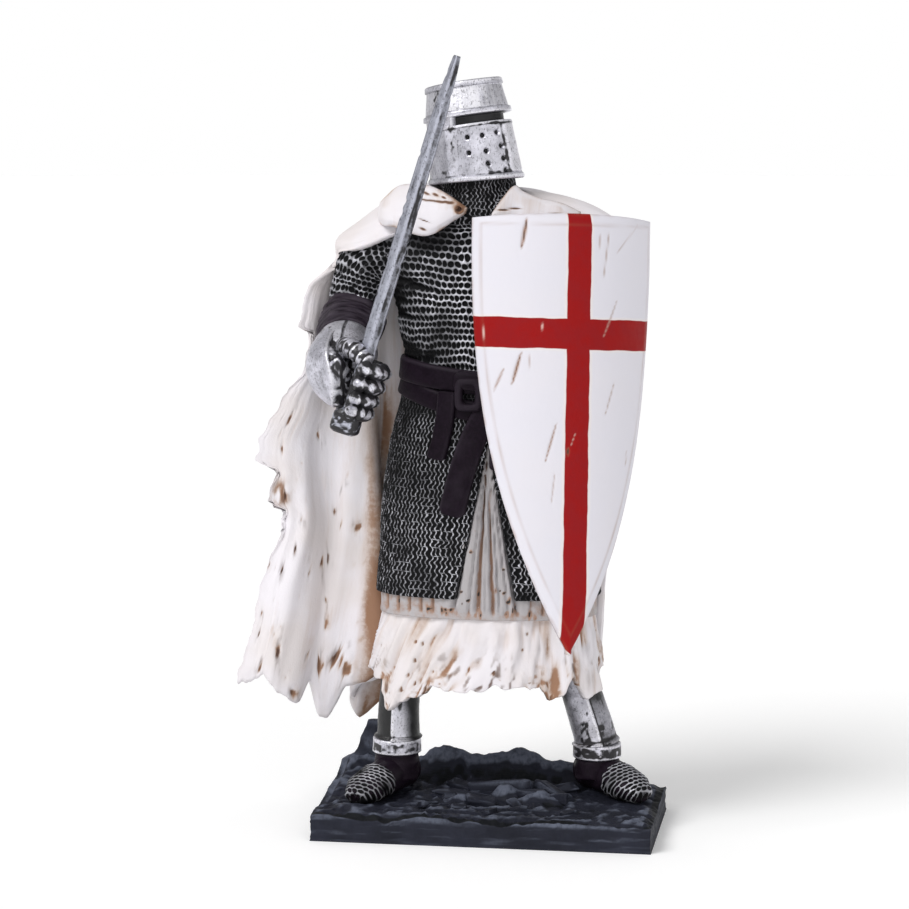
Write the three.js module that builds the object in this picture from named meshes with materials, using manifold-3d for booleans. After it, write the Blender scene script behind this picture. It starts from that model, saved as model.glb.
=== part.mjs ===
// A hand-painted cast statuette of a medieval knight on a rocky plinth.
// The knight wears a great helm, a mail coat over a quilted coat and a white surcoat, and a torn
// cloak thrown back over the shoulders. The right fist holds up a sword and the left arm a shield.
// Millimetres, +Z up. The knight faces -Y. The origin is the middle of the plinth's underside.
import * as THREE from "three";
import { mergeVertices } from "three/addons/utils/BufferGeometryUtils.js";
import Module from "manifold-3d";

const wasm = await Module();
wasm.setup();

// Driving sizes
const GAP = 0.3; // left between two pieces that touch
const MOULD_DETAIL = 0.16; // how closely the facets follow the form
const PLINTH = { width: 82, depth: 44, thickness: 6.5, relief: 4.6 };
// The rock stands up under this place along the cloak's hem, and is this much flatter than it is wide.
const ROCK = { radius: 5.2, under: 0.285, flat: 0.62 };
const FIGURE_HEIGHT = 174; // soles to the crown of the helm
const CLOAK = { thickness: 2.4, hem: 21 };
const SURCOAT = { wall: 2.2, hem: 26.5 };
const SHIELD = {
  height: 103,
  crown: 1.3, // rise of the top edge in the middle
  radius: 33, // of its bend about the upright line
  halfAngle: 43,
  thickness: 2.2,
};
const SWORD = {
  blade: 72.5,
  bladeWidth: 4.2,
  bladeThickness: 1.9,
  grip: 13,
  gripRadius: 1.7,
  pommel: 6.2,
  pommelRadius: 3.4,
};
const FINGER = 1.9; // half the thickness of a mailed finger
const BELT = { width: 5.2, proud: 0.9, low: 101.2 };

// The figure's own proportions: places in it are in parts, 174 of them to its height.
const u = FIGURE_HEIGHT / 174;
const figureBase = PLINTH.thickness + GAP;
const at = (x, y, z) => new THREE.Vector3(x * u, y * u, z * u);
const AXIS = { x: -3, y: 5 }; // of the trunk and the cloak, in parts
const rad = THREE.MathUtils.degToRad;
const { lerp, clamp, smoothstep } = THREE.MathUtils;

// A value read between the rows of a short profile, by its first column.
function along(rows, key, column) {
  const last = rows.length - 1;
  if (key <= rows[0][0]) return rows[0][column];
  if (key >= rows[last][0]) return rows[last][column];
  const i = rows.findIndex((row) => row[0] > key);
  const [a, b] = [rows[i - 1], rows[i]];
  const straight = (key - a[0]) / (b[0] - a[0]);
  return lerp(a[column], b[column], (straight + smoothstep(straight, 0, 1)) / 2);
}

function steps(from, to, count) {
  return Array.from({ length: count + 1 }, (_, i) => lerp(from, to, i / count));
}

// Turns the faces of a closed surface outwards.
function facingOut(points, triangles) {
  let volume = 0;
  for (const [a, b, c] of triangles) volume += points[a].dot(points[b].clone().cross(points[c]));
  const geometry = new THREE.BufferGeometry().setFromPoints(points);
  geometry.setIndex(triangles.flatMap(([a, b, c]) => (volume > 0 ? [a, b, c] : [a, c, b])));
  return geometry;
}

// A closed skin over a stack of rings that have as many points each.
function skin(rings) {
  const n = rings[0].length;
  const points = rings.flat();
  const triangles = [];
  for (let i = 0; i + 1 < rings.length; i++) {
    for (let j = 0; j < n; j++) {
      const [a, b] = [i * n + j, i * n + ((j + 1) % n)];
      triangles.push([a, b, b + n], [a, b + n, a + n]);
    }
  }
  for (const [ring, turn] of [[0, false], [rings.length - 1, true]]) {
    const middle = new THREE.Vector3();
    rings[ring].forEach((p) => middle.addScaledVector(p, 1 / n));
    const m = points.push(middle) - 1;
    for (let j = 0; j < n; j++) {
      const [a, b] = [ring * n + j, ring * n + ((j + 1) % n)];
      triangles.push(turn ? [m, a, b] : [m, b, a]);
    }
  }
  return facingOut(points, triangles);
}

// A sheet of even thickness over place(s, t), for s and t from 0 to 1. A closed one joins in s.
function sheet(place, columns, rows, thickness, closed = false) {
  const across = closed ? columns : columns + 1;
  const step = 1e-3;
  const front = [];
  const back = [];
  for (let i = 0; i <= rows; i++) {
    for (let j = 0; j < across; j++) {
      const [s, t] = [j / columns, i / rows];
      const [s0, s1] = closed ? [s - step, s + step] : [Math.max(0, s - step), Math.min(1, s + step)];
      const [t0, t1] = [Math.max(0, t - step), Math.min(1, t + step)];
      const normal = place(s1, t)
        .sub(place(s0, t))
        .cross(place(s, t1).sub(place(s, t0)))
        .normalize();
      front.push(place(s, t).addScaledVector(normal, thickness / 2));
      back.push(place(s, t).addScaledVector(normal, -thickness / 2));
    }
  }
  const n = front.length;
  const triangles = [];
  const quad = (a, b, c, d) => triangles.push([a, b, c], [a, c, d]);
  const id = (i, j) => i * across + (closed ? j % across : j);
  for (let i = 0; i < rows; i++) {
    for (let j = 0; j < columns; j++) {
      const [a, b, c, d] = [id(i, j), id(i, j + 1), id(i + 1, j + 1), id(i + 1, j)];
      quad(a, b, c, d);
      quad(n + a, n + d, n + c, n + b);
    }
  }
  for (let j = 0; j < columns; j++) {
    quad(id(0, j + 1), id(0, j), n + id(0, j), n + id(0, j + 1));
    quad(id(rows, j), id(rows, j + 1), n + id(rows, j + 1), n + id(rows, j));
  }
  for (let i = 0; i < rows && !closed; i++) {
    quad(id(i, 0), id(i + 1, 0), n + id(i + 1, 0), n + id(i, 0));
    quad(id(i + 1, columns), id(i, columns), n + id(i, columns), n + id(i + 1, columns));
  }
  return facingOut([...front, ...back], triangles);
}

// A round limb through stations [x, y, z, half width, half height], with its ends rounded off.
function limb(stations, sides, between = 2, upright = new THREE.Vector3(0, 0, 1)) {
  const curve = new THREE.CatmullRomCurve3(stations.map(([x, y, z]) => at(x, y, z)), false, "centripetal");
  const count = (stations.length - 1) * between;
  const rings = [];
  const ring = (centre, tangent, width, height) => {
    const side = new THREE.Vector3().crossVectors(upright, tangent);
    if (side.lengthSq() < 0.05) side.set(1, 0, 0).cross(tangent).negate();
    side.normalize();
    const rise = new THREE.Vector3().crossVectors(tangent, side);
    return steps(0, 2 * Math.PI, sides)
      .slice(0, sides)
      .map((angle) =>
        centre
          .clone()
          .addScaledVector(side, Math.cos(angle) * width)
          .addScaledVector(rise, Math.sin(angle) * height),
      );
  };
  for (let i = 0; i <= count; i++) {
    const k = i / count;
    const place = k * (stations.length - 1);
    const low = Math.min(Math.floor(place), stations.length - 2);
    const share = place - low;
    const centre = curve.getPoint(k);
    const tangent = curve.getTangent(k);
    const width = lerp(stations[low][3], stations[low + 1][3], share) * u;
    const [from, to] = [stations[low], stations[low + 1]].map((station) => station[4] ?? station[3]);
    const height = lerp(from, to, share) * u;
    const cap = (sign) => {
      const end = centre.clone().addScaledVector(tangent, sign * 0.35 * Math.min(width, height));
      return ring(end, tangent, width * 0.62, height * 0.62);
    };
    if (i === 0) rings.push(cap(-1));
    rings.push(ring(centre, tangent, width, height));
    if (i === count) rings.push(cap(1));
  }
  return skin(rings);
}

function solidOf(geometry) {
  const bare = geometry.clone();
  bare.deleteAttribute("normal");
  bare.deleteAttribute("uv");
  const merged = mergeVertices(bare, 1e-4);
  return new wasm.Manifold(
    new wasm.Mesh({
      numProp: 3,
      vertProperties: merged.attributes.position.array,
      triVerts: new Uint32Array(merged.index.array),
    }),
  );
}

function geometryOf(solid) {
  const mesh = solid.getMesh();
  const geometry = new THREE.BufferGeometry();
  geometry.setAttribute("position", new THREE.BufferAttribute(new Float32Array(mesh.vertProperties), 3));
  geometry.setIndex(new THREE.BufferAttribute(new Uint32Array(mesh.triVerts), 1));
  return geometry;
}

// A casting has no sealed pockets, and the facets are as fine as MOULD_DETAIL.
function cast(solid) {
  const skins = solid.asOriginal().simplify(MOULD_DETAIL).decompose();
  return skins.filter((part) => part.volume() > 0).reduce((whole, next) => whole.add(next));
}

const joined = (geometries) => geometries.map(solidOf).reduce((whole, next) => whole.add(next));

// Trunk: height, middle x, half width and half depth of the mail coat
const TRUNK = [
  [50.5, -1.6, 27.6, 14.3],
  [68, -1.8, 26.2, 13.6],
  [87, -2.0, 23.9, 12.6],
  [99, -2.5, 20.4, 11.6],
  [106, -3.0, 18.6, 11.0],
  [111, -3.2, 18.0, 10.8],
  [121, -3.5, 21.0, 12.2],
  [131, -3.5, 25.5, 12.6],
  [138, -3.5, 26.5, 11.0],
  [143, -3.6, 18.0, 9.4],
  [147, -3.8, 9.5, 8.6],
];
const TRUNK_SQUARE = 2.3;

// The trunk's surface, an angle round it from the front, at a height in parts, some parts proud.
function trunkPoint(angle, z, proud = 0) {
  const round = 2 / TRUNK_SQUARE;
  const power = (v) => Math.sign(v) * Math.abs(v) ** round;
  const x = along(TRUNK, z, 1) + (along(TRUNK, z, 2) + proud) * power(Math.sin(angle));
  const y = AXIS.y - (along(TRUNK, z, 3) + proud) * power(Math.cos(angle));
  return at(x, y, z);
}

function trunkRings(heights, segments, proud, flute = () => 0) {
  return heights.map((z) =>
    steps(0, 2 * Math.PI, segments)
      .slice(0, segments)
      .map((angle) => trunkPoint(angle, z, proud + flute(angle, z))),
  );
}

const MAIL_HEM = 50.5;
const QUILT_HEM = 45.5;
const SPLIT = { apex: [0, 88], left: -8.4, right: 7.4 }; // of the mail coat's front

function mailCoat() {
  const heights = [...steps(MAIL_HEM, 106, 6), ...steps(111, 147, 6)];
  const coat = solidOf(skin(trunkRings(heights, 34, 0)));
  const opening = new THREE.Shape([
    new THREE.Vector2(SPLIT.apex[0] * u, SPLIT.apex[1] * u),
    new THREE.Vector2(SPLIT.left * u, (MAIL_HEM - 2) * u),
    new THREE.Vector2(SPLIT.right * u, (MAIL_HEM - 2) * u),
  ]);
  const wedge = new THREE.ExtrudeGeometry(opening, { depth: 20 * u, bevelEnabled: false });
  wedge.rotateX(Math.PI / 2);
  wedge.translate(0, AXIS.y * u, 0);
  return coat.subtract(solidOf(wedge));
}

// The quilted coat shows in the split and as a band under the mail.
function quiltedCoat() {
  const pleats = (angle, z) => {
    const front = smoothstep(Math.cos(angle), 0.86, 0.99) * smoothstep(90 - z, 0, 25);
    return front * 0.9 * Math.cos(angle * 26);
  };
  return solidOf(skin(trunkRings(steps(QUILT_HEM, 92, 6), 40, -1.5, pleats)));
}

// The white surcoat's skirt: a fluted wall with a torn hem, filled down to a little above the hem.
function surcoatHem(angle) {
  const sway = 2.2 * Math.sin(3 * angle + 0.6);
  const tatters = 1.6 * Math.sin(11 * angle) + 1.2 * Math.sin(17 * angle + 2);
  return SURCOAT.hem + sway + tatters;
}

function surcoatPoint(angle, t, proud = 0) {
  const z = lerp(QUILT_HEM + 3, surcoatHem(angle), t);
  const folds = t * (0.9 * Math.sin(9 * angle + 1) + 0.6 * Math.sin(14 * angle));
  return trunkPoint(angle, MAIL_HEM, lerp(-2.2, 0.4, t) + folds + proud).setZ(z * u);
}

function surcoatSkirt() {
  const middle = (s, t) => surcoatPoint(2 * Math.PI * s, t, -SURCOAT.wall / 2);
  const wall = sheet(middle, 44, 4, SURCOAT.wall * u, true);
  const fill = skin(trunkRings([SURCOAT.hem + 10, QUILT_HEM + 2, QUILT_HEM + 4], 28, -3));
  return joined([wall, fill]);
}

// Legs: greave stations from inside the skirt down to the ankle, then the foot
const LEGS = {
  right: {
    hip: [-19, 4, 46],
    calf: [-23.6, 4, 25],
    ankle: [-24.2, 4.4, 12.8],
    toe: [-31.4, -13.4],
    heel: [-22, 10.2],
  },
  left: {
    hip: [15.5, 9, 46],
    calf: [21, 10.5, 25],
    ankle: [24.6, 11.2, 11.6],
    toe: [37, -0.6],
    heel: [20.6, 16.4],
  },
};
const FORWARD = new THREE.Vector3(0, 1, 0); // keeps upright limbs from twisting

function leg({ hip, calf, ankle, toe, heel }) {
  const [x, y, z] = ankle;
  const shin = limb([[...hip, 8], [...calf, 5], [x, y, z + 1, 5.3], [x, y, 4.5, 4.8]], 12, 2, FORWARD);
  const cuff = limb([[x, y, z - 2.4, 6.1], [x, y, z + 0.6, 6]], 14, 1, FORWARD);
  const place = (share, height) => [lerp(heel[0], toe[0], share), lerp(heel[1], toe[1], share), height];
  const foot = limb(
    [
      [...place(0.02, 4.0), 3.4, 3.9],
      [...place(0.28, 4.8), 4.2, 4.8],
      [...place(0.58, 4.2), 4.7, 4.2],
      [...place(0.82, 3.3), 4.8, 3.3],
      [...place(0.97, 2.4), 3.0, 2.2],
    ],
    14,
  );
  const ground = new THREE.BoxGeometry(200 * u, 200 * u, 20 * u).translate(0, 0, -10 * u);
  return joined([shin, cuff, foot]).subtract(solidOf(ground));
}

// Arms: mail sleeves from the shoulders to the wrists
const RIGHT_ARM = [
  [-22, 5, 137, 8.5],
  [-30, 5, 134, 9.2],
  [-32.2, 6, 125, 8.2],
  [-33.4, 5, 116.5, 7.8],
  [-34.2, -3, 112.4, 7.2],
  [-33.8, -10, 109.6, 6.6],
];
const LEFT_ARM = [
  [15, 5, 137, 8.5],
  [23.4, 5.5, 134, 9],
  [27.4, 8, 124, 7.9],
  [28, 7.5, 115, 7.4],
  [25, -2, 110.5, 6.6],
  [19.5, -9.5, 109, 6],
];

// The sword's own frame: its line runs from the pommel through the fist to the point.
const FIST = at(-28.4, -22.5, 104.2);
const swordLine = new THREE.Vector3(0.3, 0.055, 1).normalize();

// A mailed finger bent round the grip, `lift` above the middle of the fist.
function finger(lift, reach) {
  const across = new THREE.Vector3(1, 0, 0).addScaledVector(swordLine, -swordLine.x).normalize();
  const forward = new THREE.Vector3().crossVectors(across, swordLine);
  const centre = FIST.clone().addScaledVector(swordLine, lift * u);
  const bend = SWORD.gripRadius + FINGER * u * 1.15;
  const rings = steps(-150, 95, 6).map((degrees) => {
    const angle = rad(degrees);
    const spread = bend + (reach * u - bend) * Math.max(0, Math.cos(angle)) * 0.5;
    const out = across.clone().multiplyScalar(Math.cos(angle)).addScaledVector(forward, Math.sin(angle));
    return steps(0, 2 * Math.PI, 8)
      .slice(0, 8)
      .map((turn) =>
        centre
          .clone()
          .addScaledVector(out, spread + Math.cos(turn) * FINGER * u)
          .addScaledVector(swordLine, Math.sin(turn) * FINGER * u),
      );
  });
  return skin(rings);
}

function rightHand() {
  const cuff = limb([[-34, -6.5, 110.6, 8.4], [-34, -10.5, 109.2, 8.2], [-34, -14, 107.5, 7.4]], 14, 1);
  const back = [
    [-35.2, -10, 109, 6.8, 7.8],
    [-36, -16.5, 106, 6, 8.4],
    [-32.6, -22.5, 103.5, 3.4, 7.6],
  ];
  const plate = limb(back, 12, 1);
  const fingers = [
    [3.6, 6.6],
    [0, 6.2],
    [-3.5, 5.4],
    [-6.8, 4.8],
  ].map(([lift, reach]) => finger(lift, reach));
  const thumbLine = [
    [-32.5, -18, 111.5, 2.6],
    [-29.8, -22.5, 111.8, 2.3],
    [-26, -25.2, 109.4, 1.9],
  ];
  const thumb = limb(thumbLine, 8, 1);
  return joined([cuff, plate, thumb, ...fingers]);
}

function leftHand() {
  return solidOf(limb([[21, -7.5, 109.3, 6.2], [16, -12.2, 109, 5.6], [11.5, -14.6, 109, 5]], 12));
}

// The great helm turns to the knight's left with its chin up.
const HELM = { base: [-4.3, 3.4, 150], turn: 65, tilt: 9.5 };
const HELM_PROFILE = [
  // height above the lower rim, half length, half width, and how far the sight is cut in there
  [0, 12.2, 10.2, 0],
  [1.3, 11.7, 9.8, 0],
  [13.2, 10.6, 9.1, 0],
  [13.3, 10.5, 9, 1.2],
  [15.4, 10.4, 8.9, 1.2],
  [15.5, 11.1, 9.5, 0],
  [16.8, 10.5, 9.1, 0],
  [22.4, 9.5, 8.1, 0],
  [22.6, 9.9, 8.4, 0],
  [23.6, 9.7, 8.2, 0],
];

function helm() {
  const keel = (angle) => 1 + 0.1 * Math.max(0, Math.cos(angle)) ** 10;
  const segments = 28;
  const rings = HELM_PROFILE.map(([z, length, width, sight]) =>
    steps(0, 2 * Math.PI, segments)
      .slice(0, segments)
      .map((angle) => {
        const cut = sight * smoothstep(Math.cos(angle), 0.25, 0.4);
        return at(Math.sin(angle) * (width - cut), -Math.cos(angle) * (length - cut) * keel(angle), z);
      }),
  );
  const shape = skin(rings);
  shape.rotateX(rad(-HELM.tilt));
  shape.rotateZ(rad(HELM.turn));
  shape.translate(...at(...HELM.base).toArray());
  const neck = limb([[-3.8, 4.6, 141, 11], [-3.9, 4.2, 148, 9.2], [-4.4, 3.6, 153, 8.6]], 16, 2, FORWARD);
  return joined([shape, neck]);
}

// Cloak: a yoke over the shoulders that falls from them, with the right-hand side blown out as a wing.
// s runs from the wing's free edge round the back to the other edge, t from the neck to the torn hem.
const YOKE = 0.17; // share of t that lies on the shoulders
const SHOULDER_Z = 136;
const FALL = [
  // height, half width and depth behind the axis, and how far back the left-hand edge hangs
  [16, 33, 20, 54],
  [50, 32.5, 18, 60],
  [84, 34.5, 17, 72],
  [117, 38, 16.2, 90],
  [136, 36.4, 14.4, 98],
];
// The wing's free edge, torn in three places: height and distance out from the axis
const WING = [
  [24, 61.5],
  [46, 56.2],
  [66, 49.4],
  [69, 48.2],
  [71, 53.4],
  [79, 50.8],
  [81, 55.8],
  [87, 55],
  [96, 49.6],
  [105, 43],
  [114, 41],
  [116, 44.8],
  [128, 42.6],
  [136, 34.4],
];
// Tips and tears of the hem, from the wing's edge to the back
const HEM = [
  [0, 25.5],
  [0.05, 28.5],
  [0.09, 20.5],
  [0.125, 26.5],
  [0.155, 15.2],
  [0.19, 24.5],
  [0.22, 28],
  [0.25, 24],
  [0.285, 14],
  [0.34, 18],
  [0.45, 22],
];
const PLEAT = { at: -0.5, span: 0.16, depth: 7 }; // doubles the cloak back behind the right leg

function cloakHem(s) {
  const tatters = 1.8 * Math.sin(41 * s + 0.5) + 1.3 * Math.sin(67 * s + 1.1);
  const back = CLOAK.hem + tatters + 5 * smoothstep(s, 0.6, 1);
  return lerp(along(HEM, s, 1) + CLOAK.hem - 21, back, smoothstep(s, 0.4, 0.5));
}

function cloakPoint(s, t) {
  const side = 2 * s - 1;
  const yoke = clamp(t / YOKE, 0, 1);
  const fall = clamp((t - YOKE) / (1 - YOKE), 0, 1);
  const shoulder = SHOULDER_Z - 4 * smoothstep(side, 0.2, 1);
  const z = lerp(shoulder, cloakHem(s), fall);
  let [width, depth, farEdge] = [1, 2, 3].map((column) => along(FALL, z, column));
  const reach = lerp(168, side > 0 ? farEdge : 98, yoke ** 0.85);
  const angle = rad(side * reach);
  const over = Math.sin((yoke * Math.PI) / 2);
  width = lerp(10.5, width, over);
  depth = lerp(9.6, depth, over);
  const front = Math.max(0, -Math.cos(angle));
  const dip = front * (8 * Math.sin(yoke * Math.PI) + 3 * (1 - yoke));
  const rise = 11 * Math.cos((yoke * Math.PI) / 2) - dip;
  const folds = fall * (1.2 * Math.sin(side * 15 + fall * 1.5) + 0.8 * Math.sin(side * 27 + 1));
  const square = 1 - Math.max(fall * (side < 0 ? 0.3 : 0.1), 0.2 * yoke * (1 - fall));
  const power = (v) => Math.sign(v) * Math.abs(v) ** square;
  const x = AXIS.x + (width + folds) * power(Math.sin(angle));
  const y = AXIS.y + (depth + folds) * power(Math.cos(angle));
  const open = smoothstep(yoke, 0.6, 1) * clamp((-side - 0.4) / 0.6, 0, 1) ** 1.5;
  const wave = fall * Math.sin(open * 9 - 1) * Math.sin(open * Math.PI) * 2.2;
  const turn = (side - PLEAT.at) / PLEAT.span;
  const deep = PLEAT.depth * fall ** 1.5;
  const pleat = deep * Math.sin(turn * Math.PI) * Math.exp(-turn * turn);
  const tuck = 0.5 * deep * Math.exp(-3 * (turn + 0.4) ** 2);
  return at(
    lerp(x, AXIS.x - along(WING, z, 1), open) - pleat,
    lerp(y, AXIS.y - 1.5, open) + wave - tuck,
    z + rise,
  );
}

// The cloak is cast solid with the back of the coat, out of sight from the sides.
function backing() {
  const rings = steps(QUILT_HEM, SHOULDER_Z - 4, 8).map((z) =>
    steps(0, 2 * Math.PI, 20)
      .slice(0, 20)
      .map((angle) => {
        const depth = Math.cos(angle) > 0 ? along(FALL, z, 2) : along(TRUNK, z, 3) - 2;
        const x = along(TRUNK, z, 1) + (along(TRUNK, z, 2) - 4) * Math.sin(angle);
        return at(x, AXIS.y + depth * Math.cos(angle), z);
      }),
  );
  return solidOf(skin(rings));
}

// The hood lies on the shoulders as a thick collar that runs down to the clasp.
function hood() {
  const rings = steps(-164, 164, 18).map((degrees) => {
    const angle = rad(degrees);
    const full = smoothstep(164 - Math.abs(degrees), 0, 75);
    const back = Math.max(0, Math.cos(angle));
    const low = Math.max(0, Math.sin(angle)); // the shoulder behind the shield is lower
    const reach = lerp(10.6, 16.8 - 2.4 * back - 3.2 * low, full);
    const [thick, high] = [lerp(1.3, 5.2, full), lerp(1.3, 2.7 + back, full)];
    const centre = at(
      AXIS.x + reach * Math.sin(angle),
      AXIS.y - 0.5 + (reach - 1) * Math.cos(angle),
      lerp(143.2, 145.6 + 1.6 * back - 1.8 * low, full),
    );
    const out = new THREE.Vector3(Math.sin(angle), Math.cos(angle), 0);
    return steps(0, 2 * Math.PI, 10)
      .slice(0, 10)
      .map((turn) =>
        centre
          .clone()
          .addScaledVector(out, Math.cos(turn) * thick * u)
          .setZ(centre.z + (Math.sin(turn) * high - Math.cos(turn) * 1.6 * full) * u),
      );
  });
  return solidOf(skin(rings));
}

// The belt, its hanging end and the looped strap lie on the mail.
function strap(points, width, proud) {
  const curve = new THREE.CatmullRomCurve3(points.map(([x, z]) => new THREE.Vector3(x, 0, z)));
  const place = (s, t) => {
    const p = curve.getPoint(s);
    const d = curve.getTangent(s);
    const x = p.x - d.z * (t - 0.5) * width;
    const z = p.z + d.x * (t - 0.5) * width;
    const middle = along(TRUNK, z, 1);
    const share = clamp((x - middle) / along(TRUNK, z, 2), -0.99, 0.99);
    const y = trunkPoint(Math.sign(share) * Math.asin(Math.abs(share) ** (TRUNK_SQUARE / 2)), z, proud).y;
    return new THREE.Vector3(x * u, y, z * u);
  };
  return solidOf(sheet(place, 8, 1, (proud * 2 + 0.6) * u));
}

function belt() {
  const round = (s, t) => {
    const slant = 1.5 * Math.sin(2 * Math.PI * s);
    return trunkPoint(2 * Math.PI * s, BELT.low + BELT.width * t - slant, BELT.proud / 2);
  };
  const band = solidOf(sheet(round, 34, 1, (BELT.proud + 1) * u, true));
  const sling = strap([[-20, 100.5], [-14, 98], [-8, 96.5], [0, 96], [8, 98]], 4.4, BELT.proud);
  const tongue = strap([[-9, 102], [-9.6, 94], [-11.8, 84.4]], 3.8, BELT.proud + 0.4);
  const end = strap([[0.5, 97], [-3.5, 86], [-8, 72]], 5.2, BELT.proud + 0.4);
  return [sling, tongue, end].reduce((whole, next) => whole.add(next), band);
}

// The shield: bent about an upright line, flat on top and drawn in to a point.
const shieldPlace = { cross: at(21.5, -16.4, 115.8), turn: 28.5, lean: -4.5, roll: 2.5, above: 0.269 };

function shieldGeometry(thickness, grow) {
  const place = (s, t) => {
    const down = -grow + t * (SHIELD.height + 2 * grow);
    const drawn = clamp(down / SHIELD.height, 0, 1);
    const spread = Math.max(rad(SHIELD.halfAngle) * (1 - drawn ** 2.45), rad(1.2)) + grow / SHIELD.radius;
    const angle = (2 * s - 1) * spread;
    return new THREE.Vector3(
      SHIELD.radius * Math.sin(angle),
      SHIELD.radius * (1 - Math.cos(angle)),
      SHIELD.height * shieldPlace.above - down - SHIELD.crown * (1 - t) * (2 * s - 1) ** 2,
    );
  };
  const bent = sheet(place, 12, 16, thickness);
  bent.rotateY(rad(shieldPlace.roll));
  bent.rotateX(rad(shieldPlace.lean));
  bent.rotateZ(rad(shieldPlace.turn));
  return bent.translate(...shieldPlace.cross.toArray());
}

// The sword, some clearance larger all round where it is used to cut its seat in the fist.
function swordSolid(grow) {
  const half = SWORD.grip / 2;
  const grip = new THREE.LatheGeometry(
    [
      new THREE.Vector2(0, -half - SWORD.pommel - grow),
      new THREE.Vector2(SWORD.pommelRadius - 0.6 + grow, -half - SWORD.pommel - grow),
      new THREE.Vector2(SWORD.pommelRadius + grow, -half - SWORD.pommel + 0.8),
      new THREE.Vector2(SWORD.pommelRadius - 0.2 + grow, -half - 0.8),
      new THREE.Vector2(SWORD.gripRadius + grow, -half + grow),
      new THREE.Vector2(SWORD.gripRadius + grow, half + 1 + grow),
      new THREE.Vector2(0, half + 1 + grow),
    ],
    14,
  ).rotateX(Math.PI / 2);
  const section = (lift, width) => {
    const [w, h] = [width / 2 + grow, SWORD.bladeThickness / 2 + grow];
    return [
      new THREE.Vector3(w, 0, lift),
      new THREE.Vector3(0, h, lift),
      new THREE.Vector3(-w, 0, lift),
      new THREE.Vector3(0, -h, lift),
    ];
  };
  const blade = skin([
    section(half - 1, SWORD.bladeWidth),
    section(half + SWORD.blade * 0.5, SWORD.bladeWidth * 0.86),
    section(half + SWORD.blade * 0.94, SWORD.bladeWidth * 0.62),
    section(half + SWORD.blade, SWORD.bladeWidth * 0.26),
  ]);
  const turn = new THREE.Quaternion().setFromUnitVectors(new THREE.Vector3(0, 0, 1), swordLine);
  const move = new THREE.Matrix4().compose(FIST, turn, new THREE.Vector3(1, 1, 1));
  return joined([grip.applyMatrix4(move), blade.applyMatrix4(move)]);
}

// The plinth: a slab with broken ground on top, and a rock that carries the cloak's hem.
// Places on it are in shares of the plinth's half width and half depth.
function ground(x, y) {
  const [px, py] = [x / (PLINTH.width / 2), y / (PLINTH.depth / 2)];
  const bump = (cx, cy, rx, ry) => Math.exp(-(((px - cx) / rx) ** 2) - ((py - cy) / ry) ** 2);
  const ridge = 1.7 * bump(-0.27, 0.93, 0.27, 0.18) + 1.4 * bump(0.15, 0.93, 0.17, 0.16);
  const shelf = 0.85 * bump(0.44, 0.93, 0.15, 0.15);
  const bank = 1.2 * bump(-0.9, 0.91, 0.2, 0.36) + 0.35 * bump(-0.93, 0.18, 0.12, 0.32);
  const stones = 0.55 * bump(-0.15, -0.14, 0.08, 0.1) + 0.8 * bump(0.07, 0.14, 0.07, 0.11);
  const wedge = 0.5 * bump(0.27, -0.09, 0.15, 0.1);
  const hollow = 0.45 * bump(0, -0.05, 0.22, 0.23);
  const rough = 0.16 * Math.sin(37 * px + 1) * Math.sin(24 * py) + 0.1 * Math.sin(15 * px - 18 * py);
  const rim = smoothstep(1 - Math.max(Math.abs(px), Math.abs(py)), 0, 0.1);
  const raised = ridge + shelf + bank + (stones + wedge - hollow + rough) * rim;
  return PLINTH.thickness + PLINTH.relief * raised;
}

function plinth() {
  const [columns, rows] = [30, 16];
  const points = [];
  const triangles = [];
  const grid = (height) => {
    const first = points.length;
    for (let i = 0; i <= rows; i++) {
      for (let j = 0; j <= columns; j++) {
        const x = (j / columns - 0.5) * PLINTH.width;
        const y = (i / rows - 0.5) * PLINTH.depth;
        points.push(new THREE.Vector3(x, y, height(x, y)));
      }
    }
    return (i, j) => first + i * (columns + 1) + j;
  };
  const top = grid(ground);
  const under = grid(() => 0);
  const quad = (a, b, c, d) => triangles.push([a, b, c], [a, c, d]);
  for (let i = 0; i < rows; i++) {
    for (let j = 0; j < columns; j++) {
      quad(top(i, j), top(i, j + 1), top(i + 1, j + 1), top(i + 1, j));
      quad(under(i, j), under(i + 1, j), under(i + 1, j + 1), under(i, j + 1));
    }
  }
  for (let j = 0; j < columns; j++) {
    quad(under(0, j), under(0, j + 1), top(0, j + 1), top(0, j));
    quad(under(rows, j + 1), under(rows, j), top(rows, j), top(rows, j + 1));
  }
  for (let i = 0; i < rows; i++) {
    quad(under(i + 1, 0), under(i, 0), top(i, 0), top(i + 1, 0));
    quad(under(i, columns), under(i + 1, columns), top(i + 1, columns), top(i, columns));
  }
  const carried = cloakPoint(ROCK.under, 1);
  const rock = skin(
    steps(0, 1, 6).map((share) =>
      steps(0, 2 * Math.PI, 11)
        .slice(0, 11)
        .map((angle) => {
          const rugged = 1 + 0.16 * Math.sin(3 * angle + 5 * share);
          const radius = ROCK.radius * (1.5 - 0.95 * share ** 0.6) * rugged;
          const inside = { x: PLINTH.width / 2 - radius, y: PLINTH.depth / 2 - radius * ROCK.flat };
          return new THREE.Vector3(
            clamp(carried.x, -inside.x, inside.x) + radius * Math.cos(angle),
            clamp(carried.y, -inside.y, inside.y) + radius * ROCK.flat * Math.sin(angle),
            lerp(PLINTH.thickness / 2, figureBase + carried.z - GAP, share),
          );
        }),
    ),
  );
  return solidOf(facingOut(points, triangles)).add(solidOf(rock));
}

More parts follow.
